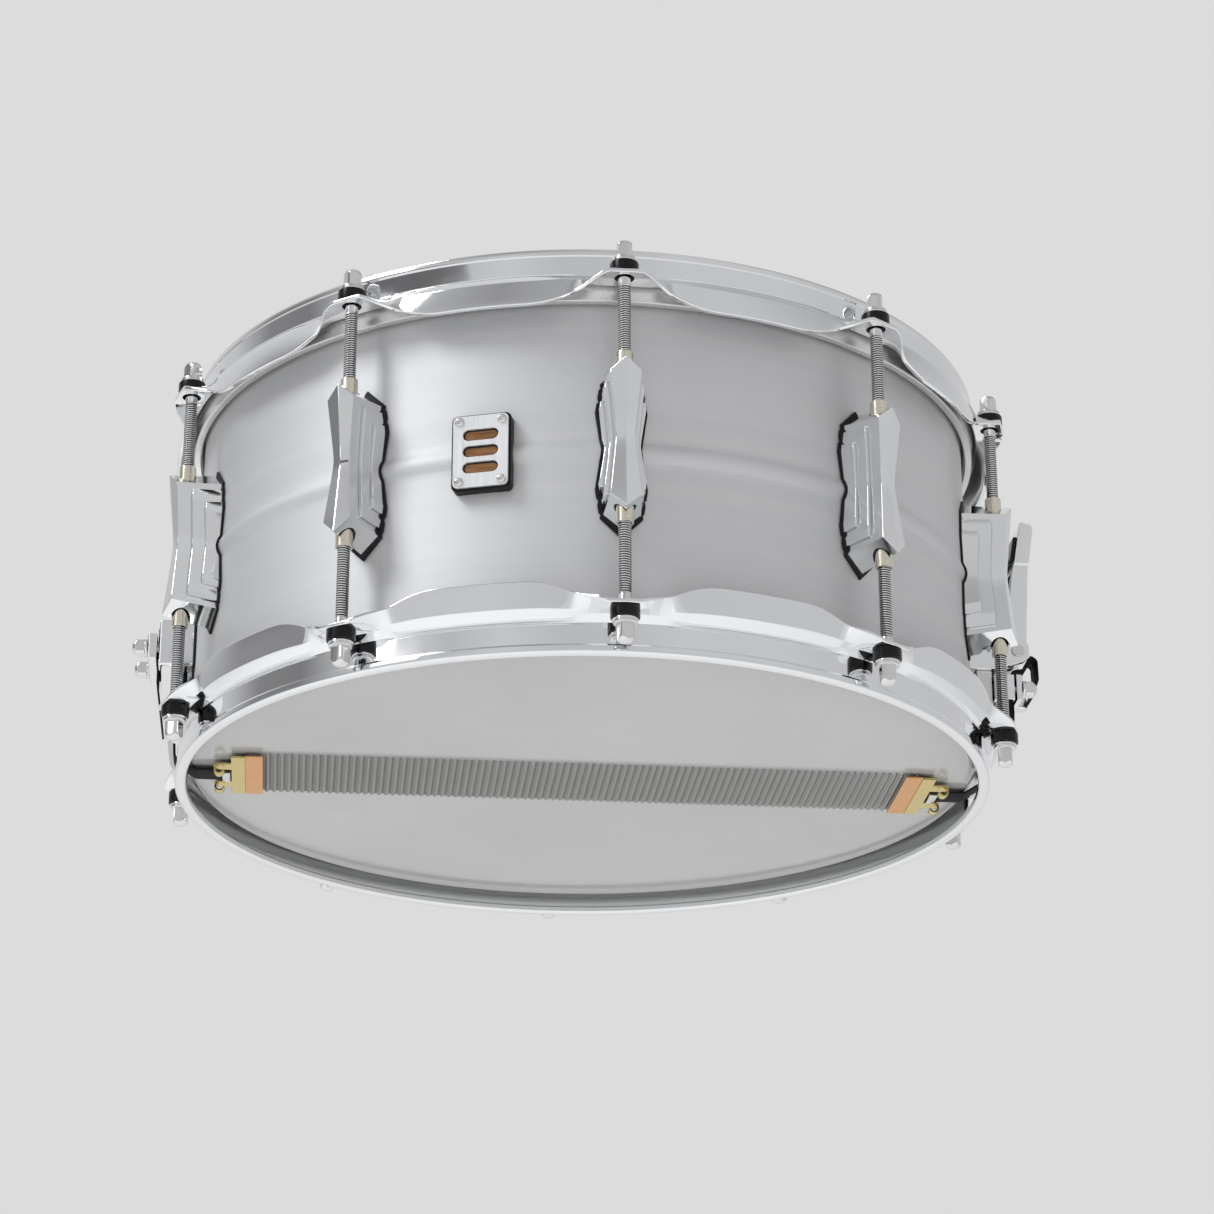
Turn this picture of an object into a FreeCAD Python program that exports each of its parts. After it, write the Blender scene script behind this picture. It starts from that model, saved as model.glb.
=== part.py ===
import FreeCAD, Part

import math
import os

# Snare drum, 14 inch by 6.5 inch, metal shell, ten double-ended lugs. Millimetres.
# Everything is drawn about the drum's centre: +Z runs up to the batter head, +X points at
# the strainer, -X at the butt plate, and -Y at the lug left of which the badge sits.
# save() then lifts each sub-part so that the snare-side rim stands on z = 0.
# Angles are in degrees about Z, measured from -Y towards +X.

Vector = FreeCAD.Vector

# ---------------------------------------------------------------- driving dimensions
SHELL_R = 177.5
SHELL_WALL = 1.5
SHELL_HALF = 82.5
BEAD_HALF_WIDTH = 4.8
BEAD_PROUD = 1.5
GASKET_THICK = 1.0

FILM_THICK = 0.3
FLESH_IN_R = 179.2
FLESH_OUT_R = 182.6
FLESH_LOW_Z = 67.2
FLESH_HIGH_Z = 76.2

RIM_Z = 91.6
HOOP_R = 183.5
HOOP_WALL = 2.2
EAR_TOP_Z = 75.2
EAR_OUT_R = 198.0
SKIRT_EDGE_Z = 62.7
SKIRT_EDGE_R = 190.0
SKIRT_THICK = 1.9
EAR_HOLE_R = 4.2
EAR_HALF_ANGLE = 2.05

LUG_COUNT = 10
LUG_STEP = 360.0 / LUG_COUNT
LUG_SCREW_Z = 8.0
LUG_SCREW_R = 2.0
LUG_SCREW_TIP_R = 187.5

ROD_CIRCLE_R = 192.0
ROD_R = 2.75
ROD_CLEARANCE = 0.05
ROD_HOLE_ROOM = 0.25
ROD_INNER_Z = 15.0
ROD_TIP_Z = 90.5
NUT_R = 3.7
NUT_INNER_Z = 22.0
NUT_OUTER_Z = 38.5
NUT_POCKET_R = 4.6
NUT_POCKET_Z = 30.0
WASHER_R = 6.1
WASHER_TOP_Z = 80.0
FLANGE_R = 5.35
FLANGE_TOP_Z = 82.4
KEY_SQUARE = 6.4
KEY_CORNER_R = 4.1

BADGE_ANGLE = -18.5
BADGE_WIDTH = 23.6
BADGE_HEIGHT = 32.4
BADGE_SLOT_STEP = 7.4
BADGE_SLOT_HALF = 7.6
BADGE_SLOT_R = 2.5
BADGE_RIM = 0.9
BADGE_SCREW_R = 0.8
BADGE_HEAD_R = 1.35
BADGE_BASE_OUT_R = SHELL_R + 4.6
BADGE_PLATE_OUT_R = BADGE_BASE_OUT_R + 1.2
VENT_ANGLE = 198.0
VENT_Z = 22.0
VENT_HOLE_R = 5.0
VENT_BORE_R = 3.9

STRAND_COUNT = 24
STRAND_PITCH = 2.1
STRAND_R = 0.8
STRAND_Z = -(SHELL_HALF + FILM_THICK + STRAND_R + 0.1)
STRAND_HALF = 151.0
END_PLATE_IN_X = 144.5
END_PLATE_OUT_X = 152.4
END_PLATE_HALF_Y = 25.2
PLATE_TOP_Z = STRAND_Z - STRAND_R
PLATE_THICK = 0.8
CLIP_THICK = 1.2
CLIP_HALF_Y = 24.4
CLIP_BAR_OUT_X = 158.6
CLIP_TIP_X = 163.0
CLIP_ARM_Y = 11.7
CLIP_ARM_R = 3.5

STRAP_HALF_Y = 6.5
STRAP_THICK = 0.9
GATE_HALF_Y = 20.0
GATE_LOW_Z = -(RIM_Z - 3.8)

FIXING_TIP_R = 181.2

LEVER_X = 201.8
LEVER_Z = -16.5
LEVER_FOOT_R = 4.8
LEVER_BEND_Z = 28.0
LEVER_BEND_IN_X = 202.2
LEVER_LEAN = 0.176
PAD_THICK = 1.8
PIN_R = 2.0
PIN_CLEARANCE = 0.05
STEM_HALF_Y = 9.5
PADDLE_HALF_Y = 11.5
CHEEK = 2.2
HOUSING_HALF_Y = 12.4
HOUSING_WALL = 2.6
HOUSING_TOP_Z = 18.0
HOUSING_LOW_Z = -26.0
CHANNEL_HALF_Y = HOUSING_HALF_Y - HOUSING_WALL
SLIDE_GAP = 0.2
ADJUSTER_X = 194.0
ADJUSTER_R = 2.5
ADJUSTER_CLEARANCE = 0.05
KNOB_LOW_Z = 25.0
KNOB_HIGH_Z = 35.0
KNOB_R = 6.2
STRAINER_SCREW_Z = (8.0, -10.0)
CHANNEL_FLOOR_X = 182.3
CLAMP_HALF_Y = 13.0
CLAMP_PLATE_THICK = 3.0
CLAMP_TOP_Z = -28.5
CLAMP_LOW_Z = -41.0
CLAMP_STRAP_X = 199.4
CLAMP_SCREW_Y = 9.6
CLAMP_SCREW_Z = -34.8
CLAMP_TIP_X = 192.5
SCREW_R = 2.0
SCREW_FIT = 0.02

BUTT_HALF_Y = 18.0
BUTT_TOP_Z = -18.0
BUTT_LOW_Z = -40.0
BUTT_FACE_R = 193.2
BUTT_STRAP_R = 181.4
BUTT_SCREW_Y = 14.0
BUTT_SCREW_Z = -30.8
BUTT_FIXING_Z = (-29.0,)
BUTT_FIXING_Y = 13.0
BUTT_PLATE_THICK = 4.2
BUTT_CLAMP_TIP_X = 185.0
BUTT_FIXING_TIP_R = 182.6
STRAP_WAY_HALF_Y = 8.4

# Drills and cutters only have to pass right through, so they share generous ends.
DRILL_IN_X = 165.0
DRILL_OUT_X = 215.0
DRILL_FAR_Y = 20.0
DRILL_FAR_Z = 90.0


# ---------------------------------------------------------------- shape helpers
def save(name, shape):
    """Write one sub-part, standing the drum on its snare-side rim."""
    shape = shape.copy()
    shape.translate(Vector(0, 0, RIM_Z))
    if not shape.isValid():
        print("NOT VALID", name)
    solids = len(shape.Solids)
    print(f"{name:24s} solids {solids:3d}  volume {shape.Volume / 1000:9.3f} cm3")
    shape.exportStep(os.path.join("parts", name + ".step"))


def box(x0, x1, y0, y1, z0, z1):
    return Part.makeBox(x1 - x0, y1 - y0, z1 - z0, Vector(x0, y0, z0))


def rod_z(x, y, radius, z0, z1):
    return Part.makeCylinder(radius, z1 - z0, Vector(x, y, z0), Vector(0, 0, 1))


def rod_x(y, z, radius, x0, x1):
    return Part.makeCylinder(radius, x1 - x0, Vector(x0, y, z), Vector(1, 0, 0))


def rod_y(x, z, radius, y0, y1):
    return Part.makeCylinder(radius, y1 - y0, Vector(x, y0, z), Vector(0, 1, 0))


def face_of(edges):
    return Part.Face(Part.Wire(Part.__sortEdges__(edges)))


def polygon_face(points):
    closed = list(points) + [points[0]]
    return Part.Face(Part.makePolygon(closed))


def turned(profile):
    """Solid of revolution about Z from (radius, z) corners."""
    points = [Vector(radius, 0, z) for radius, z in profile]
    return polygon_face(points).revolve(Vector(0, 0, 0), Vector(0, 0, 1), 360)


def side_plate(profile, y0, y1):
    """Plate cut from an (x, z) outline, from y0 to y1."""
    points = [Vector(x, y0, z) for x, z in profile]
    return polygon_face(points).extrude(Vector(0, y1 - y0, 0))


def fused(shapes):
    shapes = list(shapes)
    if len(shapes) == 1:
        return shapes[0]
    return shapes[0].fuse(shapes[1:]).removeSplitter()


def turned_to(shape, angle):
    """Copy of a shape drawn at +X, moved round the drum to the given angle."""
    return shape.rotated(Vector(0, 0, 0), Vector(0, 0, 1), angle - 90.0)


def upright(shape):
    """Mirror image of a batter-side shape drawn at +X, on the snare side."""
    return shape.mirror(Vector(0, 0, 0), Vector(0, 0, 1))


def round_the_drum(shape):
    """The shape drawn at +X, repeated at every lug."""
    return [turned_to(shape, LUG_STEP * index) for index in range(LUG_COUNT)]


def lug_angles():
    return [LUG_STEP * index for index in range(LUG_COUNT)]


def convex_solid(points):
    """Flat-faced solid with the given (x, y, z) corners, all on its convex outside."""
    corners = [Vector(*point) for point in points]
    centre = Vector(0, 0, 0)
    for corner in corners:
        centre = centre + corner * (1.0 / len(corners))
    planes = {}
    count = len(corners)
    for i in range(count):
        for j in range(i + 1, count):
            for k in range(j + 1, count):
                normal = (corners[j] - corners[i]).cross(corners[k] - corners[i])
                if normal.Length < 1e-6:
                    continue
                normal.normalize()
                if normal.dot(centre - corners[i]) > 0:
                    normal = normal * -1.0
                heights = [normal.dot(corner - corners[i]) for corner in corners]
                if max(heights) > 1e-6:
                    continue
                on_plane = tuple(n for n, height in enumerate(heights) if height > -1e-6)
                planes[on_plane] = normal
    faces = []
    for on_plane, normal in planes.items():
        middle = Vector(0, 0, 0)
        for n in on_plane:
            middle = middle + corners[n] * (1.0 / len(on_plane))
        across = corners[on_plane[0]] - middle
        across.normalize()
        up = normal.cross(across)

        def bearing(n):
            spoke = corners[n] - middle
            return math.atan2(spoke.dot(up), spoke.dot(across))

        ring = sorted(on_plane, key=bearing)
        faces.append(polygon_face([corners[n] for n in ring]))
    return Part.makeSolid(Part.makeShell(faces))


def mirrored_points(half):
    """(x, y, z) corners with y >= 0, completed with their twins at -y."""
    both = []
    for x, y, z in half:
        both.append((x, y, z))
        if y > 0:
            both.append((x, -y, z))
    return both


def shell_envelope(offset):
    """Everything inside the shell's outside surface, bead included, grown by an offset."""
    radius = SHELL_R + offset
    crest = SHELL_R + BEAD_PROUD + offset
    low = Vector(radius, 0, -BEAD_HALF_WIDTH)
    top = Vector(crest, 0, 0)
    high = Vector(radius, 0, BEAD_HALF_WIDTH)
    far = SHELL_HALF + 4.0
    edges = [
        Part.LineSegment(Vector(0, 0, -far), Vector(radius, 0, -far)).toShape(),
        Part.LineSegment(Vector(radius, 0, -far), low).toShape(),
        Part.Arc(low, top, high).toShape(),
        Part.LineSegment(high, Vector(radius, 0, far)).toShape(),
        Part.LineSegment(Vector(radius, 0, far), Vector(0, 0, far)).toShape(),
        Part.LineSegment(Vector(0, 0, far), Vector(0, 0, -far)).toShape(),
    ]
    return face_of(edges).revolve(Vector(0, 0, 0), Vector(0, 0, 1), 360)


def ribbon(points, bend, half_width, thickness):
    """Flat strap in the XZ plane: straight runs joined by tangent arcs."""
    def offset_path(side):
        edges = []
        start = None
        count = len(points)
        for index in range(count):
            here = Vector(points[index][0], 0, points[index][1])
            if index in (0, count - 1):
                other = points[1] if index == 0 else points[count - 2]
                along = Vector(other[0], 0, other[1]) - here
                if index == count - 1:
                    along = along * -1.0
                along.normalize()
                normal = Vector(-along.z, 0, along.x)
                spot = here + normal * (side * thickness / 2.0)
                if index == 0:
                    start = spot
                else:
                    edges.append(Part.LineSegment(start, spot).toShape())
                    start = spot
                continue
            before = here - Vector(points[index - 1][0], 0, points[index - 1][1])
            after = Vector(points[index + 1][0], 0, points[index + 1][1]) - here
            before.normalize()
            after.normalize()
            turn = math.atan2(before.x * after.z - before.z * after.x, before.dot(after))
            reach = bend * math.tan(abs(turn) / 2.0)
            normal_in = Vector(-before.z, 0, before.x)
            normal_out = Vector(-after.z, 0, after.x)
            shift = side * thickness / 2.0
            arc_start = here - before * reach + normal_in * shift
            arc_end = here + after * reach + normal_out * shift
            sign = 1.0 if turn > 0 else -1.0
            centre = here - before * reach + normal_in * (sign * bend)
            radius = (arc_start - centre).Length
            towards = here - centre
            towards.normalize()
            arc_middle = centre + towards * radius
            edges.append(Part.LineSegment(start, arc_start).toShape())
            edges.append(Part.Arc(arc_start, arc_middle, arc_end).toShape())
            start = arc_end
        return edges, start

    outer, outer_end = offset_path(1.0)
    inner, inner_end = offset_path(-1.0)
    outer_begin = outer[0].Vertexes[0].Point
    inner_begin = inner[0].Vertexes[0].Point
    caps = [
        Part.LineSegment(outer_begin, inner_begin).toShape(),
        Part.LineSegment(outer_end, inner_end).toShape(),
    ]
    strip = face_of(outer + inner + caps)
    strip.translate(Vector(0, -half_width, 0))
    return strip.extrude(Vector(0, 2.0 * half_width, 0))


def key_head(length):
    """Square drum-key head standing on z = 0, with rounded corners and a domed end."""
    half = KEY_SQUARE / 2.0
    dome = 2.0
    square = box(-half, half, -half, half, 0, length)
    barrel = rod_z(0, 0, KEY_CORNER_R, 0, length - dome)
    crown = Part.makeCone(KEY_CORNER_R, KEY_CORNER_R - dome, dome, Vector(0, 0, length - dome))
    return square.common(barrel.fuse(crown))


# ---------------------------------------------------------------- shell and heads
def make_shell():
    inside = SHELL_R - SHELL_WALL
    edge_r = 174.4
    turn_z = SHELL_HALF - 3.5
    outer = shell_envelope(0).common(turned([
        (0, -SHELL_HALF), (edge_r, -SHELL_HALF), (SHELL_R, -turn_z), (SHELL_R + 5, -turn_z),
        (SHELL_R + 5, turn_z), (SHELL_R, turn_z), (edge_r, SHELL_HALF), (0, SHELL_HALF),
    ]))
    lip_r = edge_r - 0.9
    bore = turned([
        (0, -SHELL_HALF - 1), (lip_r, -SHELL_HALF - 1), (lip_r, -SHELL_HALF + 0.4),
        (inside, -turn_z + 0.6), (inside, -BEAD_HALF_WIDTH), (inside + BEAD_PROUD, -1.2),
        (inside + BEAD_PROUD, 1.2), (inside, BEAD_HALF_WIDTH), (inside, turn_z - 0.6),
        (lip_r, SHELL_HALF - 0.4), (lip_r, SHELL_HALF + 1), (0, SHELL_HALF + 1),
    ])
    shell = outer.cut(bore)
    holes = []
    for angle in lug_angles():
        for z in (-LUG_SCREW_Z, LUG_SCREW_Z):
            holes.append(turned_to(rod_x(0, z, LUG_SCREW_R, DRILL_IN_X, DRILL_OUT_X), angle))
    for angle, heights in ((90.0, STRAINER_SCREW_Z), (-90.0, BUTT_FIXING_Z)):
        for z in heights:
            for y in fixing_rows(angle):
                holes.append(turned_to(rod_x(y, z, SCREW_R, DRILL_IN_X, DRILL_OUT_X), angle))
    holes.append(turned_to(rod_x(0, VENT_Z, VENT_HOLE_R, DRILL_IN_X, DRILL_OUT_X), VENT_ANGLE))
    return shell.cut(holes)


def make_film():
    low = SHELL_HALF
    high = SHELL_HALF + FILM_THICK
    knee = 175.6
    skirt_z = 79.5
    skirt_r = FLESH_IN_R - FILM_THICK
    return turned([
        (0, low), (knee, low), (skirt_r, skirt_z), (skirt_r, FLESH_LOW_Z + 2.0),
        (FLESH_IN_R, FLESH_LOW_Z + 2.0), (FLESH_IN_R, skirt_z + 0.2), (knee + 0.1, high), (0, high),
    ])


def make_flesh_hoop():
    soft = 0.5
    return turned([
        (FLESH_IN_R, FLESH_LOW_Z + soft), (FLESH_IN_R + soft, FLESH_LOW_Z),
        (FLESH_OUT_R - soft, FLESH_LOW_Z), (FLESH_OUT_R, FLESH_LOW_Z + soft),
        (FLESH_OUT_R, FLESH_HIGH_Z), (FLESH_IN_R, FLESH_HIGH_Z),
    ])


# ---------------------------------------------------------------- hoops
def skirt_drop(angle):
    """How far the skirt has come down: 0 at a lug's flat ear, 1 between lugs."""
    flat = EAR_HALF_ANGLE
    full = 13.0
    share = min(max((abs(angle) - flat) / (full - flat), 0.0), 1.0)
    return 1.0 - (1.0 - share) ** 2.6 * (1.0 + 1.3 * share)


def skirt_section(angle):
    """Cross-section of the flared skirt at an angle from its lug, rooted in the wall."""
    drop = skirt_drop(angle)
    reach = min(max((abs(angle) - EAR_HALF_ANGLE) / 5.0, 0.0), 1.0)
    reach = reach * reach * (3.0 - 2.0 * reach)
    edge_r = EAR_OUT_R + (SKIRT_EDGE_R - EAR_OUT_R) * reach
    edge_z = EAR_TOP_Z + (SKIRT_EDGE_Z - EAR_TOP_Z) * drop
    root_r = HOOP_R - HOOP_WALL / 2.0
    knee_r = 185.8
    slope = math.atan2(EAR_TOP_Z + drop - edge_z, edge_r - knee_r)
    in_r = SKIRT_THICK * math.sin(slope)
    in_z = SKIRT_THICK * math.cos(slope)
    knee_in = 184.9 - 0.3 * drop
    profile = [
        (root_r, 80.0),
        (knee_r, EAR_TOP_Z + drop),
        (edge_r, edge_z),
        (edge_r - in_r, edge_z - in_z),
        (knee_in, EAR_TOP_Z - SKIRT_THICK + 0.6 * drop),
        (root_r, 76.9),
    ]
    turn = math.radians(angle)
    points = [Vector(r * math.cos(turn), r * math.sin(turn), z) for r, z in profile]
    return Part.makePolygon(points + [points[0]])


def make_hoop():
    inside = HOOP_R - HOOP_WALL
    roll_r = 178.7
    soft = 1.1
    wall = turned([
        (inside, FLESH_HIGH_Z), (HOOP_R, FLESH_HIGH_Z), (HOOP_R, RIM_Z - soft),
        (HOOP_R - 0.35, RIM_Z - 0.35), (HOOP_R - soft, RIM_Z), (roll_r + soft, RIM_Z),
        (roll_r + 0.35, RIM_Z - 0.35), (roll_r, RIM_Z - soft), (roll_r, RIM_Z - 2.9),
        (roll_r + 0.7, RIM_Z - 3.6), (inside, RIM_Z - 3.6),
    ])
    half = [EAR_HALF_ANGLE, 3.0, 4.2, 5.5, 7.0, 9.5, 13.0, LUG_STEP / 2.0]
    angles = [-angle for angle in reversed(half)] + [0.0] + half
    skirt = Part.makeLoft([skirt_section(angle) for angle in angles], True, True)
    ear_hole = rod_z(ROD_CIRCLE_R, 0, EAR_HOLE_R, 0, DRILL_FAR_Z)
    panel = skirt.cut(ear_hole)
    return fused([wall] + round_the_drum(panel))


def make_snare_hoop(hoop):
    """The batter hoop turned over, with a gate for the strap at both ends."""
    gates = []
    for side in (-1.0, 1.0):
        near, far = sorted((side * DRILL_IN_X, side * DRILL_OUT_X))
        gates.append(box(near, far, -GATE_HALF_Y, GATE_HALF_Y, GATE_LOW_Z, 0))
    return upright(hoop).cut(gates)


# ---------------------------------------------------------------- lugs and tension rods
def lug_half():
    """Upper half of a lug at +X: a creased spine and two stepped wings."""
    spine = convex_solid(mirrored_points([
        (176.0, 5.0, 0.0), (196.04, 4.0, 0.0), (196.9, 0.0, 0.0),
        (176.0, 7.9, 30.0), (198.3, 6.6, 27.9), (200.3, 0.0, 33.6), (176.0, 0.0, 37.2),
    ]))
    wing_1 = convex_solid(mirrored_points([
        (176.0, 7.2, 0.0), (189.8, 4.9, 0.0),
        (176.0, 9.0, 23.4), (191.5, 7.5, 21.8),
        (176.0, 8.4, 27.4), (191.3, 6.9, 25.8),
    ]))
    wing_2 = convex_solid(mirrored_points([
        (176.0, 8.0, 0.0), (184.2, 6.1, 0.0),
        (176.0, 9.9, 17.2), (185.6, 8.7, 15.8),
        (176.0, 9.3, 21.4), (185.4, 8.1, 19.8),
    ]))
    return fused([spine, wing_1, wing_2])


def make_lug():
    upper = lug_half()
    lug = fused([upper, upright(upper)])
    tools = [shell_envelope(GASKET_THICK)]
    for side in (-1.0, 1.0):
        for radius, near in (
            (NUT_R, NUT_INNER_Z),
            (NUT_POCKET_R, NUT_POCKET_Z),
            (ROD_R + ROD_HOLE_ROOM, ROD_INNER_Z - 1.0),
        ):
            low, high = sorted((side * near, side * DRILL_FAR_Z))
            tools.append(rod_z(ROD_CIRCLE_R, 0, radius, low, high))
        tools.append(rod_x(0, side * LUG_SCREW_Z, LUG_SCREW_R, DRILL_IN_X, LUG_SCREW_TIP_R + 1.0))
    return lug.cut(tools)


def make_lug_gasket():
    """Black seat between a lug and the shell, a millimetre wider than the lug all round."""
    outline = [
        (8.5, 0.0), (11.0, 17.4), (10.4, 21.6), (9.6, 22.0), (10.0, 24.6),
        (9.4, 28.0), (8.7, 28.4), (9.0, 30.4), (0.0, 39.2),
    ]
    right = outline[::-1] + [(y, -z) for y, z in outline[1:]]
    left = [(-y, z) for y, z in reversed(right) if y > 0]
    points = [Vector(DRILL_IN_X, y, z) for y, z in right + left]
    prism = polygon_face(points).extrude(Vector(DRILL_OUT_X - DRILL_IN_X, 0, 0))
    seat = prism.common(shell_envelope(GASKET_THICK)).cut(shell_envelope(0))
    holes = [rod_x(0, z, LUG_SCREW_R, DRILL_IN_X, DRILL_OUT_X) for z in (-LUG_SCREW_Z, LUG_SCREW_Z)]
    return seat.cut(holes)


def make_inside_screw(y, z, tip, root_r):
    """Pan-head screw driven outwards through the shell at +X, with its washer."""
    shank = rod_x(y, z, SCREW_R - SCREW_FIT, root_r - 1.0, tip)
    washer = rod_x(y, z, 4.6, root_r - 1.4, root_r - 0.4)
    head = rod_x(y, z, 3.4, root_r - 3.8, root_r - 1.4)
    return fused([shank, washer, head])


def make_lug_screws():
    inside = SHELL_R - SHELL_WALL
    pair = [make_inside_screw(0, z, LUG_SCREW_TIP_R, inside) for z in (-LUG_SCREW_Z, LUG_SCREW_Z)]
    return Part.makeCompound([turned_to(screw, a) for a in lug_angles() for screw in pair])


def make_swivel_nuts():
    nut = rod_z(ROD_CIRCLE_R, 0, NUT_R - SCREW_FIT, NUT_INNER_Z, NUT_OUTER_Z)
    nut = nut.cut(rod_z(ROD_CIRCLE_R, 0, ROD_R + ROD_CLEARANCE, 0, DRILL_FAR_Z))
    both = [nut, upright(nut)]
    return Part.makeCompound([turned_to(n, a) for a in lug_angles() for n in both])


def make_ear_washers():
    washer = rod_z(ROD_CIRCLE_R, 0, WASHER_R, EAR_TOP_Z, WASHER_TOP_Z)
    washer = washer.cut(rod_z(ROD_CIRCLE_R, 0, ROD_R + ROD_HOLE_ROOM, 0, DRILL_FAR_Z))
    both = [washer, upright(washer)]
    return Part.makeCompound([turned_to(w, a) for a in lug_angles() for w in both])


def make_tension_rod(turn):
    """Batter-side rod at +X: thread, flange and square key head, turned by an angle."""
    shaft = rod_z(ROD_CIRCLE_R, 0, ROD_R, ROD_INNER_Z, FLANGE_TOP_Z)
    flange = rod_z(ROD_CIRCLE_R, 0, FLANGE_R, WASHER_TOP_Z + 0.05, FLANGE_TOP_Z)
    head = key_head(ROD_TIP_Z - FLANGE_TOP_Z)
    head = head.rotated(Vector(0, 0, 0), Vector(0, 0, 1), turn)
    head.translate(Vector(ROD_CIRCLE_R, 0, FLANGE_TOP_Z))
    return fused([shaft, flange, head])


# ---------------------------------------------------------------- badge and air vent
def rounded_prism(half_y, half_z, corner, x0, x1, shift=(0.0, 0.0)):
    block = box(x0, x1, -half_y, half_y, -half_z, half_z)
    corners = [e for e in block.Edges if abs(e.Vertexes[0].X - e.Vertexes[-1].X) > 1.0 or
               abs(e.tangentAt(e.FirstParameter).x) > 0.99]
    block = block.makeFillet(corner, corners)
    block.translate(Vector(0, shift[0], shift[1]))
    return block


def badge_screw_places():
    inset_y = BADGE_WIDTH / 2.0 - 2.6
    inset_z = BADGE_HEIGHT / 2.0 - 2.4
    return [(y, z) for y in (-inset_y, inset_y) for z in (-inset_z, inset_z)]


def make_badge_base():
    half_y = BADGE_WIDTH / 2.0 + BADGE_RIM
    half_z = BADGE_HEIGHT / 2.0 + BADGE_RIM
    block = rounded_prism(half_y, half_z, 2.6, DRILL_IN_X, BADGE_BASE_OUT_R)
    block = block.cut(shell_envelope(0))
    drilled_from = SHELL_R + 1.0
    holes = [rod_x(y, z, BADGE_SCREW_R, drilled_from, DRILL_OUT_X) for y, z in badge_screw_places()]
    return turned_to(block.cut(holes), BADGE_ANGLE)


def make_badge_plate():
    """Metal plate with three plain round-ended slots that show the wood behind it."""
    plate = rounded_prism(BADGE_WIDTH / 2.0, BADGE_HEIGHT / 2.0, 2.2, BADGE_BASE_OUT_R, BADGE_PLATE_OUT_R)
    near = DRILL_IN_X
    far = DRILL_OUT_X
    tools = [rod_x(y, z, BADGE_SCREW_R, near, far) for y, z in badge_screw_places()]
    for z in (-BADGE_SLOT_STEP, 0.0, BADGE_SLOT_STEP):
        reach = BADGE_SLOT_HALF - BADGE_SLOT_R
        tools.append(box(near, far, -reach, reach, z - BADGE_SLOT_R, z + BADGE_SLOT_R))
        tools += [rod_x(y, z, BADGE_SLOT_R, near, far) for y in (-reach, reach)]
    return turned_to(plate.cut(tools), BADGE_ANGLE)


def make_badge_screws():
    screws = []
    for y, z in badge_screw_places():
        shank = rod_x(y, z, BADGE_SCREW_R - SCREW_FIT, SHELL_R + 2.0, BADGE_PLATE_OUT_R)
        head = rod_x(y, z, BADGE_HEAD_R, BADGE_PLATE_OUT_R, BADGE_PLATE_OUT_R + 0.5)
        screws.append(turned_to(fused([shank, head]), BADGE_ANGLE))
    return Part.makeCompound(screws)


def make_vent():
    """Flanged eyelet in the shell's air hole."""
    inside = SHELL_R - SHELL_WALL
    barrel = rod_x(0, VENT_Z, VENT_HOLE_R - SCREW_FIT, inside - 1.2, SHELL_R + 1.2)
    outer = rod_x(0, VENT_Z, 7.0, SHELL_R - 0.1, SHELL_R + 1.2).cut(shell_envelope(0))
    inner = rod_x(0, VENT_Z, 6.4, inside - 1.2, inside - 0.15)
    eyelet = fused([barrel, outer, inner])
    eyelet = eyelet.cut(rod_x(0, VENT_Z, VENT_BORE_R, DRILL_IN_X, DRILL_OUT_X))
    return turned_to(eyelet, VENT_ANGLE)


# ---------------------------------------------------------------- strainer (at +X)
def fixing_rows(angle):
    """Sideways places of the screws that hold the strainer or the butt plate."""
    return (0.0,) if angle > 0 else (-BUTT_FIXING_Y, BUTT_FIXING_Y)


def make_strainer_gasket():
    shift = (0.0, -4.0)
    block = rounded_prism(HOUSING_HALF_Y + 1.0, 23.0, 3.0, DRILL_IN_X, DRILL_OUT_X, shift)
    seat = block.common(shell_envelope(GASKET_THICK)).cut(shell_envelope(0))
    return seat.cut([rod_x(0, z, SCREW_R, DRILL_IN_X, DRILL_OUT_X) for z in STRAINER_SCREW_Z])


def make_strainer_housing():
    """Upright channel on the shell whose cheeks end in ears for the lever pin."""
    body = box(DRILL_IN_X, 196.6, -HOUSING_HALF_Y, HOUSING_HALF_Y, HOUSING_LOW_Z, HOUSING_TOP_Z)
    ears = side_plate([
        (190.0, -2.0), (196.6, 4.0), (199.0, -2.0), (LEVER_X + 5.4, LEVER_Z + 3.0),
        (LEVER_X + 5.4, LEVER_Z - 3.0), (LEVER_X + 2.4, LEVER_Z - 5.6), (190.0, HOUSING_LOW_Z),
    ], -HOUSING_HALF_Y, HOUSING_HALF_Y)
    body = fused([body, ears])
    half = CHANNEL_HALF_Y
    channel = box(CHANNEL_FLOOR_X, DRILL_OUT_X, -half, half, -DRILL_FAR_Z, DRILL_FAR_Z)
    pin = rod_y(LEVER_X, LEVER_Z, PIN_R, -DRILL_FAR_Y, DRILL_FAR_Y)
    fixings = [rod_x(0, z, SCREW_R, DRILL_IN_X, FIXING_TIP_R + 0.2) for z in STRAINER_SCREW_Z]
    return body.cut([shell_envelope(GASKET_THICK), channel, pin] + fixings)


def make_strainer_screws():
    inside = SHELL_R - SHELL_WALL
    return Part.makeCompound([make_inside_screw(0, z, FIXING_TIP_R, inside) for z in STRAINER_SCREW_Z])


def make_lever_pin():
    shaft = rod_y(LEVER_X, LEVER_Z, PIN_R, -HOUSING_HALF_Y, HOUSING_HALF_Y)
    caps = [
        rod_y(LEVER_X, LEVER_Z, 3.0, -HOUSING_HALF_Y - 0.9, -HOUSING_HALF_Y),
        rod_y(LEVER_X, LEVER_Z, 3.0, HOUSING_HALF_Y, HOUSING_HALF_Y + 0.9),
    ]
    return fused([shaft] + caps)


def paddle_face_x(z):
    """Where the paddle's inner face stands at a height: it leans outwards above the bend."""
    return LEVER_BEND_IN_X + LEVER_LEAN * (z - LEVER_BEND_Z)


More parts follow.
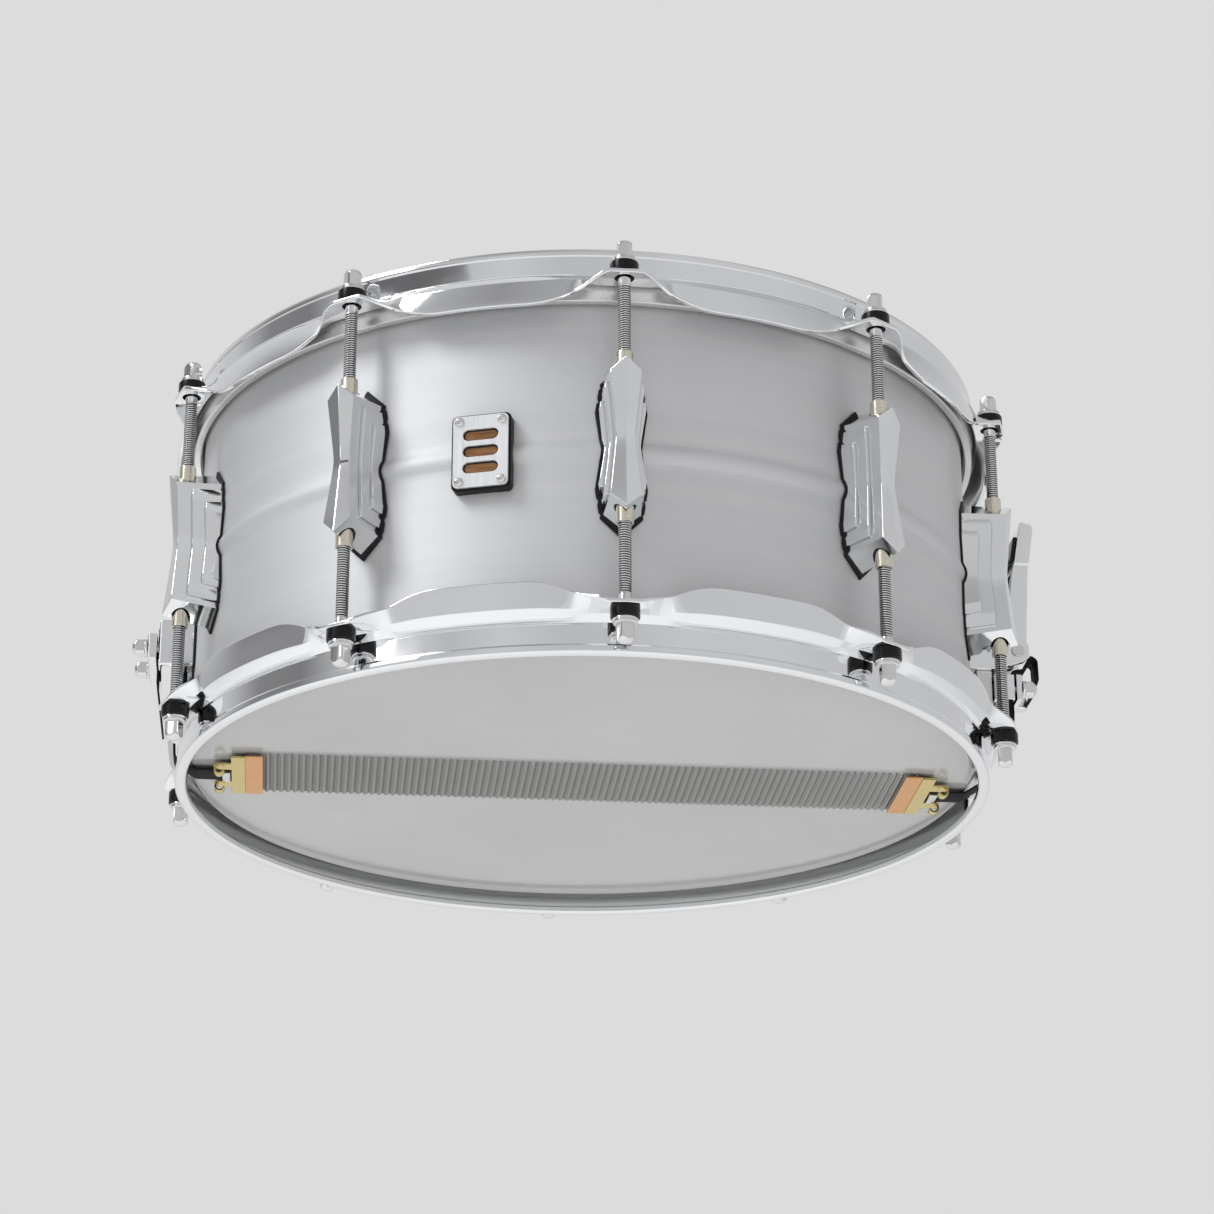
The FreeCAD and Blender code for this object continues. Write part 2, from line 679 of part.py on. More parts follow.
def make_lever():
    """Throw lever: two round-footed cheeks, an outer web and a flared thumb paddle."""
    stem_out_low = (LEVER_X + LEVER_FOOT_R, LEVER_Z)
    bend_in = (LEVER_BEND_IN_X, LEVER_BEND_Z)
    bend_out = (209.6, LEVER_BEND_Z)
    web_low_z = LEVER_Z + 11.5
    cheek_outline = [
        (LEVER_X - LEVER_FOOT_R, LEVER_Z), stem_out_low, (209.2, 24.0), bend_out, bend_in,
        (200.9, 22.0),
    ]
    cheek = side_plate(cheek_outline, -STEM_HALF_Y, STEM_HALF_Y)
    foot = rod_y(LEVER_X, LEVER_Z, LEVER_FOOT_R, -STEM_HALF_Y, STEM_HALF_Y)
    stem = fused([cheek, foot])
    inner = STEM_HALF_Y - CHEEK
    hollow = side_plate([
        (190, -30), (DRILL_OUT_X, -30), (DRILL_OUT_X, web_low_z), (205.4, web_low_z),
        (206.8, 26.0), (190, 26.0),
    ], -inner, inner)
    stem = stem.cut(hollow)
    paddle = side_plate([bend_in, bend_out, (212.3, 46.2), (211.4, 48.0), (206.4, 49.4),
                         (paddle_face_x(48.4), 48.4)], -PADDLE_HALF_Y, PADDLE_HALF_Y)
    lever = fused([stem, paddle])
    return lever.cut(rod_y(LEVER_X, LEVER_Z, PIN_R + PIN_CLEARANCE, -DRILL_FAR_Y, DRILL_FAR_Y))


def make_lever_pad():
    """Rubber pad on the lever's inner face, where a thumb gets behind it."""
    low = 30.6
    high = 42.2
    outline = [
        (paddle_face_x(low), low), (paddle_face_x(high), high),
        (paddle_face_x(high) - PAD_THICK, high), (paddle_face_x(low) - PAD_THICK, low),
    ]
    return side_plate(outline, -PADDLE_HALF_Y + 1.5, PADDLE_HALF_Y - 1.5)


def make_slide_block():
    """Tongue that runs in the channel, with a shelf on top that carries the adjuster."""
    half = CHANNEL_HALF_Y - SLIDE_GAP
    back_x = CHANNEL_FLOOR_X + SLIDE_GAP
    tongue = box(back_x, 189.6, -half, half, -45.0, 14.0)
    shelf = box(back_x, 198.2, -half, half, 10.0, 14.0)
    hole = rod_z(ADJUSTER_X, 0, ADJUSTER_R + ADJUSTER_CLEARANCE, 0, DRILL_FAR_Z)
    return fused([tongue, shelf]).cut(hole)


def make_adjuster_screw():
    shaft = rod_z(ADJUSTER_X, 0, ADJUSTER_R, -44.0, KNOB_LOW_Z)
    collar = rod_z(ADJUSTER_X, 0, 4.0, 14.2, 16.2)
    stop = rod_z(ADJUSTER_X, 0, 4.0, 7.8, 9.8)
    return fused([shaft, collar, stop])


def make_knob():
    """Round knob with grip flutes round its edge."""
    knob = rod_z(ADJUSTER_X, 0, KNOB_R, KNOB_LOW_Z, KNOB_HIGH_Z)
    flute_count = 12
    flutes = []
    for index in range(flute_count):
        turn = 2.0 * math.pi * index / flute_count
        x = ADJUSTER_X + (KNOB_R + 0.5) * math.cos(turn)
        y = (KNOB_R + 0.5) * math.sin(turn)
        flutes.append(rod_z(x, y, 1.1, KNOB_LOW_Z - 1, KNOB_HIGH_Z - 1.8))
    return knob.cut(flutes)


def make_clamp_block():
    block = box(190.0, CLAMP_STRAP_X, -CLAMP_HALF_Y, CLAMP_HALF_Y, CLAMP_LOW_Z, CLAMP_TOP_Z)
    holes = [rod_z(ADJUSTER_X, 0, ADJUSTER_R + ADJUSTER_CLEARANCE, -DRILL_FAR_Z, 0)]
    for y in (-CLAMP_SCREW_Y, CLAMP_SCREW_Y):
        holes.append(rod_x(y, CLAMP_SCREW_Z, SCREW_R, CLAMP_TIP_X - 0.5, DRILL_OUT_X))
    return block.cut(holes)


def make_clamp_plate():
    face = CLAMP_STRAP_X + STRAP_THICK
    front = face + CLAMP_PLATE_THICK
    plate = box(face, front, -CLAMP_HALF_Y, CLAMP_HALF_Y, CLAMP_LOW_Z, CLAMP_TOP_Z)
    plate = plate.makeFillet(1.0, [e for e in plate.Edges if e.BoundBox.XMin > front - 0.1])
    rows = (-CLAMP_SCREW_Y, CLAMP_SCREW_Y)
    return plate.cut([rod_x(y, CLAMP_SCREW_Z, SCREW_R, DRILL_IN_X, DRILL_OUT_X) for y in rows])


def make_key_screw(y, z, tip, face):
    """Square-headed clamp screw along +X, its head seated on a face."""
    shank = rod_x(y, z, SCREW_R - SCREW_FIT, tip, face)
    flange = rod_x(y, z, 4.0, face, face + 1.2)
    head = key_head(5.6).rotated(Vector(0, 0, 0), Vector(0, 1, 0), 90)
    head.translate(Vector(face + 1.2, y, z))
    return fused([shank, flange, head])


def make_clamp_screws():
    face = CLAMP_STRAP_X + STRAP_THICK + CLAMP_PLATE_THICK
    return Part.makeCompound([
        make_key_screw(y, CLAMP_SCREW_Z, CLAMP_TIP_X, face) for y in (-CLAMP_SCREW_Y, CLAMP_SCREW_Y)
    ])


# ---------------------------------------------------------------- butt plate (at -X)
def make_butt_gasket():
    shift = (0.0, BUTT_FIXING_Z[0])
    block = rounded_prism(BUTT_HALF_Y + 1.0, 12.4, 2.6, DRILL_IN_X, DRILL_OUT_X, shift)
    seat = block.common(shell_envelope(GASKET_THICK)).cut(shell_envelope(0))
    half = STRAP_WAY_HALF_Y
    tools = [box(DRILL_IN_X, DRILL_OUT_X, -half, half, -DRILL_FAR_Z, 0)]
    for y in fixing_rows(-90.0):
        tools.append(rod_x(y, BUTT_FIXING_Z[0], SCREW_R, DRILL_IN_X, DRILL_OUT_X))
    return turned_to(seat.cut(tools), -90.0)


def make_butt_body():
    """Block on two feet, so that the strap can rise behind it and come over its top."""
    body = box(DRILL_IN_X, BUTT_FACE_R, -BUTT_HALF_Y, BUTT_HALF_Y, BUTT_LOW_Z, BUTT_TOP_Z)
    edges = [e for e in body.Edges if e.BoundBox.XMin > BUTT_FACE_R - 0.1 or
             (e.BoundBox.XLength > 5 and abs(e.BoundBox.YMin) > BUTT_HALF_Y - 0.1)]
    body = body.makeFillet(1.2, edges)
    half = STRAP_WAY_HALF_Y
    tools = [shell_envelope(GASKET_THICK), box(DRILL_IN_X, 183.6, -half, half, -DRILL_FAR_Z, 0)]
    for y in (-BUTT_SCREW_Y, BUTT_SCREW_Y):
        tools.append(rod_x(y, BUTT_SCREW_Z, SCREW_R, BUTT_CLAMP_TIP_X - 0.5, DRILL_OUT_X))
    for y in fixing_rows(-90.0):
        tools.append(rod_x(y, BUTT_FIXING_Z[0], SCREW_R, DRILL_IN_X, BUTT_FIXING_TIP_R + 0.4))
    return turned_to(body.cut(tools), -90.0)


def make_butt_plate():
    face = BUTT_FACE_R + STRAP_THICK
    front = face + BUTT_PLATE_THICK
    plate = box(face, front, -BUTT_HALF_Y, BUTT_HALF_Y, BUTT_SCREW_Z - 6.0, BUTT_SCREW_Z + 5.8)
    plate = plate.makeFillet(1.2, [e for e in plate.Edges if e.BoundBox.XMin > front - 0.1])
    rows = (-BUTT_SCREW_Y, BUTT_SCREW_Y)
    plate = plate.cut([rod_x(y, BUTT_SCREW_Z, SCREW_R, DRILL_IN_X, DRILL_OUT_X) for y in rows])
    return turned_to(plate, -90.0)


def make_butt_clamp_screws():
    face = BUTT_FACE_R + STRAP_THICK + BUTT_PLATE_THICK
    rows = (-BUTT_SCREW_Y, BUTT_SCREW_Y)
    screws = [make_key_screw(y, BUTT_SCREW_Z, BUTT_CLAMP_TIP_X, face) for y in rows]
    return turned_to(Part.makeCompound(screws), -90.0)


def make_butt_fixing_screws():
    inside = SHELL_R - SHELL_WALL - 0.6
    screws = [
        make_inside_screw(y, BUTT_FIXING_Z[0], BUTT_FIXING_TIP_R, inside) for y in fixing_rows(-90.0)
    ]
    return turned_to(Part.makeCompound(screws), -90.0)


# ---------------------------------------------------------------- snares and straps
CLIP_MID_Z = PLATE_TOP_Z - CLIP_THICK / 2.0


def make_snare_wires():
    first = -STRAND_PITCH * (STRAND_COUNT - 1) / 2.0
    strands = []
    for index in range(STRAND_COUNT):
        y = first + STRAND_PITCH * index
        strands.append(rod_x(y, STRAND_Z, STRAND_R, -STRAND_HALF, STRAND_HALF))
    return Part.makeCompound(strands)


def make_end_plate(angle):
    """Solder strip under the ends of the strands."""
    plate = box(END_PLATE_IN_X, END_PLATE_OUT_X, -END_PLATE_HALF_Y, END_PLATE_HALF_Y,
                PLATE_TOP_Z - PLATE_THICK, PLATE_TOP_Z)
    return turned_to(plate, angle)


def make_end_clip(angle):
    """Bar beyond the solder strip, with two round-ended arms beside the strap."""
    low = PLATE_TOP_Z - CLIP_THICK
    bar = box(END_PLATE_OUT_X, CLIP_BAR_OUT_X, -CLIP_HALF_Y, CLIP_HALF_Y, low, PLATE_TOP_Z)
    pieces = [bar]
    for y in (-CLIP_ARM_Y, CLIP_ARM_Y):
        y0 = y - CLIP_ARM_R
        y1 = y + CLIP_ARM_R
        pieces.append(box(CLIP_BAR_OUT_X - 0.6, CLIP_TIP_X, y0, y1, low, PLATE_TOP_Z))
        pieces.append(rod_z(CLIP_TIP_X, y, CLIP_ARM_R, low, PLATE_TOP_Z))
    return turned_to(fused(pieces), angle)


STRAP_TURN = [
    (CLIP_BAR_OUT_X, CLIP_MID_Z), (174.5, CLIP_MID_Z), (184.4, -79.0),
]


def make_strainer_strap():
    """From the clip under the snare head, up through the gate and the clamp, with a loose tail."""
    strap_x = CLAMP_STRAP_X + STRAP_THICK / 2.0
    points = STRAP_TURN + [
        (187.0, -64.0), (strap_x, -50.0), (strap_x, -23.6), (210.8, -22.6), (211.6, -29.0),
        (208.8, -38.0),
    ]
    return ribbon(points, 2.2, STRAP_HALF_Y, STRAP_THICK)


def make_butt_strap():
    """From the other clip, up behind the butt block, over its top and down under its plate."""
    out_r = BUTT_FACE_R + STRAP_THICK / 2.0
    over_z = BUTT_TOP_Z + STRAP_THICK / 2.0 + 0.3
    points = STRAP_TURN + [
        (185.4, -62.0), (BUTT_STRAP_R, -46.0), (BUTT_STRAP_R, over_z), (out_r, over_z),
        (out_r, -44.0), (190.2, -67.0),
    ]
    return turned_to(ribbon(points, 1.6, STRAP_HALF_Y, STRAP_THICK), -90.0)


# ---------------------------------------------------------------- the whole drum
def rod_name(side, index):
    return f"{side}_tension_rod_{index + 1:02d}"


def main():
    os.makedirs("parts", exist_ok=True)
    hoop = make_hoop()
    film = make_film()
    flesh = make_flesh_hoop()
    save("shell", make_shell())
    save("batter_head_film", film)
    save("snare_head_film", upright(film))
    save("batter_flesh_hoop", flesh)
    save("snare_flesh_hoop", upright(flesh))
    save("batter_hoop", hoop)
    save("snare_hoop", make_snare_hoop(hoop))
    save("lugs", Part.makeCompound(round_the_drum(make_lug())))
    save("lug_gaskets", Part.makeCompound(round_the_drum(make_lug_gasket())))
    save("lug_screws", make_lug_screws())
    save("swivel_nuts", make_swivel_nuts())
    save("rod_washers", make_ear_washers())
    for index, angle in enumerate(lug_angles()):
        turn = 37.0 * index
        rod = make_tension_rod(turn)
        save(rod_name("batter", index), turned_to(rod, angle))
        rod = upright(make_tension_rod(turn + 20.0))
        save(rod_name("snare", index), turned_to(rod, angle))
    save("badge_base", make_badge_base())
    save("badge_plate", make_badge_plate())
    save("badge_screws", make_badge_screws())
    save("air_vent", make_vent())
    save("strainer_gasket", make_strainer_gasket())
    save("strainer_housing", make_strainer_housing())
    save("strainer_screws", make_strainer_screws())
    save("lever_pin", make_lever_pin())
    save("throw_lever", make_lever())
    save("lever_pad", make_lever_pad())
    save("slide_block", make_slide_block())
    save("adjuster_screw", make_adjuster_screw())
    save("adjuster_knob", make_knob())
    save("strap_clamp_block", make_clamp_block())
    save("strap_clamp_plate", make_clamp_plate())
    save("strap_clamp_screws", make_clamp_screws())
    save("butt_gasket", make_butt_gasket())
    save("butt_block", make_butt_body())
    save("butt_clamp_plate", make_butt_plate())
    save("butt_clamp_screws", make_butt_clamp_screws())
    save("butt_fixing_screws", make_butt_fixing_screws())
    save("snare_wires", make_snare_wires())
    save("strainer_end_plate", make_end_plate(90.0))
    save("butt_end_plate", make_end_plate(-90.0))
    save("strainer_end_clip", make_end_clip(90.0))
    save("butt_end_clip", make_end_clip(-90.0))
    save("strainer_strap", make_strainer_strap())
    save("butt_strap", make_butt_strap())


main()
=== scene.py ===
import math

import bmesh
import bpy
from mathutils import Matrix, Vector


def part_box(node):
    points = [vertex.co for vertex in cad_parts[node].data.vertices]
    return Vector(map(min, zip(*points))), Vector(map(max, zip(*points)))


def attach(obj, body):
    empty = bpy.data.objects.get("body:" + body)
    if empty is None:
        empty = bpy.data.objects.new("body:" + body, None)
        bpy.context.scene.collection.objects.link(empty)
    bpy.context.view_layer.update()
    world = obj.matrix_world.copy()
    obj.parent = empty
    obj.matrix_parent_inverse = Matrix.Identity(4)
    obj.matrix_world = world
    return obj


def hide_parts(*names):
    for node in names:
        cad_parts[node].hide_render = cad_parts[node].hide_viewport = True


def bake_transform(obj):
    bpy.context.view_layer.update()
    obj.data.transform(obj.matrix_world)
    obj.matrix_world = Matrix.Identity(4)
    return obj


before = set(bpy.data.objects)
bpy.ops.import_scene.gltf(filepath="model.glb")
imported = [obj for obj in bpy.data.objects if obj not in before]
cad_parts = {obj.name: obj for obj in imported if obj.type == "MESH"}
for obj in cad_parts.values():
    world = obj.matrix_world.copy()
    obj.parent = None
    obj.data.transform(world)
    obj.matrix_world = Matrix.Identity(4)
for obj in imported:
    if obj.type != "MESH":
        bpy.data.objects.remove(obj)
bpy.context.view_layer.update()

# Shapes are drawn in millimetres about the drum's centre: +Z up to the batter head, +X to the
# strainer, -X to the butt, -Y to the front lug. place() turns them into the frame's metres.
# Angles are in degrees about Z, from -Y towards +X.
MM = 0.001
UP, DOWN = 1.0, -1.0
shell_low, shell_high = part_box("shell")
MID = (shell_low + shell_high) / 2.0
SHELL_HALF = (shell_high.z - shell_low.z) / 2.0 / MM
BEAD_PROUD = 1.5
SHELL_R = (shell_high.x - shell_low.x) / 2.0 / MM - BEAD_PROUD
LUG_COUNT = 10
LUG_STEP = 360.0 / LUG_COUNT
ROD_CIRCLE_R = 192.0
ROD_R = 2.75
THREAD_PITCH = 1.06
THREAD_END_Z = 69.5


def place(x, y, z):
    return Vector((MID.x + x * MM, MID.y + y * MM, MID.z + z * MM))


def box_mm(node):
    """A CAD node's box in millimetres about the drum's centre."""
    low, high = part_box(node)
    return (low - MID) / MM, (high - MID) / MM


def smooth_step(value, low, high):
    share = min(max((value - low) / (high - low), 0.0), 1.0)
    return share * share * (3.0 - 2.0 * share)


# ---------------------------------------------------------------- mesh helpers
def shade(mesh, sharp=35.0):
    """Smooth shading, broken at edges that turn by more than the sharp angle."""
    work = bmesh.new()
    work.from_mesh(mesh)
    bmesh.ops.recalc_face_normals(work, faces=work.faces)
    for face in work.faces:
        face.smooth = True
    for edge in work.edges:
        edge.smooth = edge.calc_face_angle(0.0) < math.radians(sharp)
    work.to_mesh(mesh)
    work.free()


def new_piece(name, points, faces, sharp=35.0, weld=False):
    """A mesh object from points in drum millimetres."""
    mesh = bpy.data.meshes.new(name)
    mesh.from_pydata([place(*point) for point in points], [], faces)
    if weld:
        work = bmesh.new()
        work.from_mesh(mesh)
        bmesh.ops.remove_doubles(work, verts=work.verts, dist=1e-7)
        work.to_mesh(mesh)
        work.free()
    shade(mesh, sharp)
    piece = bpy.data.objects.new(name, mesh)
    bpy.context.scene.collection.objects.link(piece)
    return piece


def finish_piece(piece, body, surface, slot, *nodes):
    """Material, body and the CAD nodes that a piece stands for; the slot argument is not used."""
    piece.data.materials.clear()
    piece.data.materials.append(surface)
    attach(piece, body)
    if nodes:
        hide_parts(*nodes)
    return piece


def carve(piece, cutter, sharp=35.0):
    """Takes the cutter's volume out of a piece for good."""
    cut = piece.modifiers.new("cut", "BOOLEAN")
    cut.operation = "DIFFERENCE"
    cut.solver = "EXACT"
    cut.object = cutter
    seen = piece.evaluated_get(bpy.context.evaluated_depsgraph_get())
    mesh = bpy.data.meshes.new_from_object(seen)
    piece.modifiers.clear()
    piece.data = mesh
    bpy.data.objects.remove(cutter)
    shade(mesh, sharp)


def spin(radius, angle, z):
    """A point at a radius and an angle round the drum."""
    turn = math.radians(angle)
    return (radius * math.sin(turn), -radius * math.cos(turn), z)


def ring_faces(rows, columns, close_rows=True, close_columns=True):
    """Quads over a grid of points stored row by row."""
    faces = []
    for row in range(rows if close_rows else rows - 1):
        after = (row + 1) % rows
        for column in range(columns if close_columns else columns - 1):
            beside = (column + 1) % columns
            faces.append((row * columns + column, after * columns + column,
                          after * columns + beside, row * columns + beside))
    return faces


def swept_ring(name, section, steps=360, closed=True, sharp=35.0):
    """A ring whose (radius, z) section may change with the angle round the drum."""
    points = []
    for step in range(steps):
        angle = 360.0 * step / steps
        outline = section(angle)
        points += [spin(radius, angle, z) for radius, z in outline]
    faces = ring_faces(steps, len(outline), close_columns=closed)
    return new_piece(name, points, faces, sharp, weld=not closed)


def corner_arc(before, corner, after, rounding, segments):
    """Points of the soft bend that replaces a sharp corner, never past the middle of a side."""
    back = before - corner
    ahead = after - corner
    half = max(back.angle(ahead) / 2.0, 0.05)
    reach = min(rounding / math.tan(half), 0.48 * back.length, 0.48 * ahead.length)
    start = corner + back.normalized() * reach
    end = corner + ahead.normalized() * reach
    shares = [part / segments for part in range(segments + 1)]
    return [start * (1 - t) ** 2 + corner * (2 * t * (1 - t)) + end * t ** 2 for t in shares]


def rounded(corners, segments=4):
    """A closed (radius, z) outline from (radius, z, rounding) corners."""
    outline = []
    count = len(corners)
    for index, (radius, z, rounding) in enumerate(corners):
        corner = Vector((radius, z))
        if rounding <= 0.0:
            outline.append((radius, z))
            continue
        back = Vector(corners[index - 1][:2])
        ahead = Vector(corners[(index + 1) % count][:2])
        outline += [tuple(spot) for spot in corner_arc(back, corner, ahead, rounding, segments)]
    return outline


def drum_cutter(pieces):
    """One object out of several closed (points, faces) tools."""
    points, faces = [], []
    for tool_points, tool_faces in pieces:
        first = len(points)
        points += tool_points
        faces += [tuple(first + n for n in face) for face in tool_faces]
    return new_piece("cutter", points, faces)


def tube_faces(rows, around):
    """A closed tube over rows of points, with a flat face at each end."""
    first_of_last = (rows - 1) * around
    ends = [tuple(range(around))[::-1], tuple(range(first_of_last, first_of_last + around))]
    return ring_faces(rows, around, close_rows=False) + ends


def rod_tool(angle, radius, z0, z1, around=32):
    """Upright cylinder on the circle of the tension rods."""
    cx, cy, _ = spin(ROD_CIRCLE_R, angle, 0.0)
    points = []
    for z in (z0, z1):
        for n in range(around):
            turn = 2.0 * math.pi * n / around
            points.append((cx + radius * math.cos(turn), cy + radius * math.sin(turn), z))
    return points, tube_faces(2, around)


def radial_tool(angle, z, radius, r0, r1, around=48):
    """Cylinder that points away from the drum's axis."""
    out = Vector(spin(1.0, angle, 0.0))
    side = Vector((-out.y, out.x, 0.0))
    points = []
    for reach in (r0, r1):
        for n in range(around):
            turn = 2.0 * math.pi * n / around
            spot = out * reach + side * (radius * math.cos(turn))
            points.append((spot.x, spot.y, z + radius * math.sin(turn)))
    return points, tube_faces(2, around)


def box_tool(low, high):
    x_pair, y_pair, z_pair = zip(low, high)
    points = [(x, y, z) for x in x_pair for y in y_pair for z in z_pair]
    faces = [(0, 1, 3, 2), (4, 6, 7, 5), (0, 4, 5, 1), (2, 3, 7, 6), (0, 2, 6, 4), (1, 5, 7, 3)]
    return points, faces


# ---------------------------------------------------------------- material helpers
class Nodes:
    """Short ways to build the node tree of a material or the world."""

    def __init__(self, owner):
        owner.use_nodes = True
        self.nodes = owner.node_tree.nodes
        self.links = owner.node_tree.links

    def node(self, kind, **values):
        made = self.nodes.new(kind)
        for key, value in values.items():
            setattr(made, key, value)
        return made

    def where(self, kind="Object"):
        return self.node("ShaderNodeTexCoord").outputs[kind]

    def split(self, vector):
        """The X, Y and Z parts of a vector."""
        made = self.node("ShaderNodeSeparateXYZ")
        self.links.new(vector, made.inputs["Vector"])
        return made.outputs

    def ramp(self, value, stops):
        """A colour for each value, from (value, colour) stops."""
        made = self.node("ShaderNodeValToRGB")
        elements = made.color_ramp.elements
        while len(elements) < len(stops):
            elements.new(0.5)
        for element, (position, colour) in zip(elements, stops):
            element.position = position
            element.color = (*colour, 1.0)
        self.links.new(value, made.inputs["Fac"])
        return made.outputs["Color"]

    def spread(self, value, low, high, from_low=0.25, from_high=0.75):
        """Turns one range of values into another, and clamps it."""
        made = self.node("ShaderNodeMapRange")
        made.inputs["From Min"].default_value = from_low
        made.inputs["From Max"].default_value = from_high
        made.inputs["To Min"].default_value = low
        made.inputs["To Max"].default_value = high
        self.links.new(value, made.inputs["Value"])
        return made.outputs["Result"]

    def math(self, operation, *values):
        """A math node fed by other nodes' outputs or by plain numbers."""
        made = self.node("ShaderNodeMath", operation=operation)
        for socket, value in zip(made.inputs, values):
            if isinstance(value, float):
                socket.default_value = value
            else:
                self.links.new(value, socket)
        return made.outputs["Value"]

    def mix(self, share, first, second):
        """From the first colour, plain or from a node, to the second as the share grows to 1."""
        made = self.node("ShaderNodeMix", data_type="RGBA")
        for socket, value in zip(("Factor", "A", "B"), (share, first, second)):
            if isinstance(value, tuple):
                made.inputs[socket].default_value = (*value, 1.0)
            else:
                self.links.new(value, made.inputs[socket])
        return made.outputs["Result"]


class Surface(Nodes):
    """A node material around one Principled shader, with short ways to add detail."""

    def __init__(self, name, colour, metallic=0.0, roughness=0.5, **sockets):
        self.material = bpy.data.materials.new(name)
        super().__init__(self.material)
        self.shader = self.nodes["Principled BSDF"]
        self.shader.inputs["Base Color"].default_value = (*colour, 1.0)
        self.shader.inputs["Metallic"].default_value = metallic
        self.shader.inputs["Roughness"].default_value = roughness
        for socket, value in sockets.items():
            self.shader.inputs[socket.replace("_", " ")].default_value = value
        self.height = None

    def coordinates(self, scale=(1.0, 1.0, 1.0)):
        mapping = self.node("ShaderNodeMapping")
        mapping.inputs["Scale"].default_value = scale
        self.links.new(self.where(), mapping.inputs["Vector"])
        return mapping.outputs["Vector"]

    def noise(self, scale, stretch=(1.0, 1.0, 1.0), detail=4.0, roughness=0.55):
        """Noise on the object's own coordinates, which stretch may scale along each axis."""
        made = self.node("ShaderNodeTexNoise")
        made.inputs["Scale"].default_value = scale
        made.inputs["Detail"].default_value = detail
        made.inputs["Roughness"].default_value = roughness
        self.links.new(self.coordinates(stretch), made.inputs["Vector"])
        return made.outputs["Fac"]

    def paint_hollow_shade(self, distance, stops):
        """Painted shade: colour that darkens with how deep in a crevice a spot lies, from
        (openness, colour) stops.
        """
        made = self.node("ShaderNodeAmbientOcclusion", samples=6)
        made.inputs["Distance"].default_value = distance
        self.feed("Base Color", self.ramp(made.outputs["AO"], stops))

    def feed(self, socket, value):
        self.links.new(value, self.shader.inputs[socket])

    def bump(self, value, strength, distance):
        """Adds one layer of relief on top of what is there."""
        made = self.node("ShaderNodeBump")
        made.inputs["Strength"].default_value = strength
        made.inputs["Distance"].default_value = distance
        self.links.new(value, made.inputs["Height"])
        if self.height is not None:
            self.links.new(self.height, made.inputs["Normal"])
        self.height = made.outputs["Normal"]
        self.feed("Normal", self.height)


# ---------------------------------------------------------------- materials
def brushed_shell():
    """Satin aluminium, turned on a lathe: fine lines that run round the drum."""
    surface = Surface("brushed_aluminium", (0.70, 0.70, 0.71), 1.0, 0.66,
                      Anisotropic=0.3, Anisotropic_Rotation=0.25)
    lines = surface.noise(1.0, (6.0, 6.0, 2600.0), 3.0)
    bands = surface.noise(1.0, (2.0, 2.0, 160.0), 2.0)
    cloud = surface.noise(5.0, detail=3.0)
    surface.feed("Base Color", surface.ramp(bands, [
        (0.3, (0.685, 0.69, 0.70)), (0.7, (0.715, 0.715, 0.72))]))
    surface.feed("Roughness", surface.spread(cloud, 0.63, 0.69))
    tangent = surface.node("ShaderNodeTangent", direction_type="RADIAL", axis="Z")
    surface.links.new(tangent.outputs["Tangent"], surface.shader.inputs["Tangent"])
    surface.bump(lines, 0.10, 0.00006)
    return surface.material


def chrome(name="chrome", colour=(0.83, 0.84, 0.85), low=0.035, high=0.075):
    """Polished plate: a trace of haze, wiping marks and the faint waviness of pressed metal, with
    painted shade in its crevices and where parts meet.
    """
    surface = Surface(name, colour, 1.0, (low + high) / 2.0)
    # Painted shade: deep in crevices and where parts meet, the colour falls to about a fifth of
    # itself.
    crevice_shade_colour = tuple(channel * 0.22 for channel in colour)
    surface.paint_hollow_shade(2.2 * MM, [(0.25, crevice_shade_colour), (0.62, colour)])
    haze = surface.noise(38.0, detail=6.0, roughness=0.65)
    surface.feed("Roughness", surface.spread(haze, low, high))
    surface.bump(surface.noise(55.0, detail=2.0), 0.05, 0.0003)
    surface.bump(surface.noise(1800.0, detail=2.0), 0.03, 0.00003)
    return surface.material


def rod_steel():
    """Plated rod steel, with painted shade in the bottom of the thread."""
    surface = Surface("rod_steel", (0.72, 0.72, 0.72), 1.0, 0.12)
    split = surface.split(surface.where())
    square = surface.math("ADD", *(surface.math("POWER", split[axis], 2.0) for axis in "XY"))
    crest = surface.spread(surface.math("SQRT", square), 0.0, 1.0,
                           (ROD_R - 0.36) * MM, (ROD_R - 0.08) * MM)
    plain = surface.spread(surface.math("ABSOLUTE", split["Z"]), 0.0, 1.0,
                           THREAD_END_Z * MM, (THREAD_END_Z + 0.3) * MM)
    # Painted shade: the thread's valleys are coloured near black, while its crests and the plain
    # shank are light.
    surface.feed("Base Color", surface.ramp(surface.math("MAXIMUM", crest, plain), [
        (0.0, (0.02, 0.02, 0.02)), (0.55, (0.30, 0.30, 0.30)), (1.0, (0.74, 0.74, 0.74))]))
    surface.feed("Roughness", surface.spread(surface.noise(60.0, detail=5.0), 0.08, 0.18))
    return surface.material


def satin_metal(name, colour, roughness):
    """Plated or turned metal with a fine speckle and patches of handling."""
    surface = Surface(name, colour, 1.0, roughness)
    speck = surface.noise(900.0)
    cloud = surface.noise(60.0)
    surface.feed("Roughness", surface.spread(cloud, roughness * 0.8, roughness * 1.25))
    dark = tuple(channel * 0.9 for channel in colour)
    surface.feed("Base Color", surface.ramp(speck, [(0.35, dark), (0.65, colour)]))
    surface.bump(speck, 0.08, 0.00004)
    return surface.material


def coated_film():
    """White sprayed coating: a fine, even tooth."""
    surface = Surface("coated_film", (0.86, 0.86, 0.84), 0.0, 0.62)
    cloud = surface.noise(14.0)
    surface.feed("Base Color", surface.ramp(cloud, [
        (0.3, (0.60, 0.60, 0.585)), (0.7, (0.68, 0.68, 0.665))]))
    surface.bump(surface.noise(1500.0, detail=3.0, roughness=0.7), 0.35, 0.00008)
    return surface.material


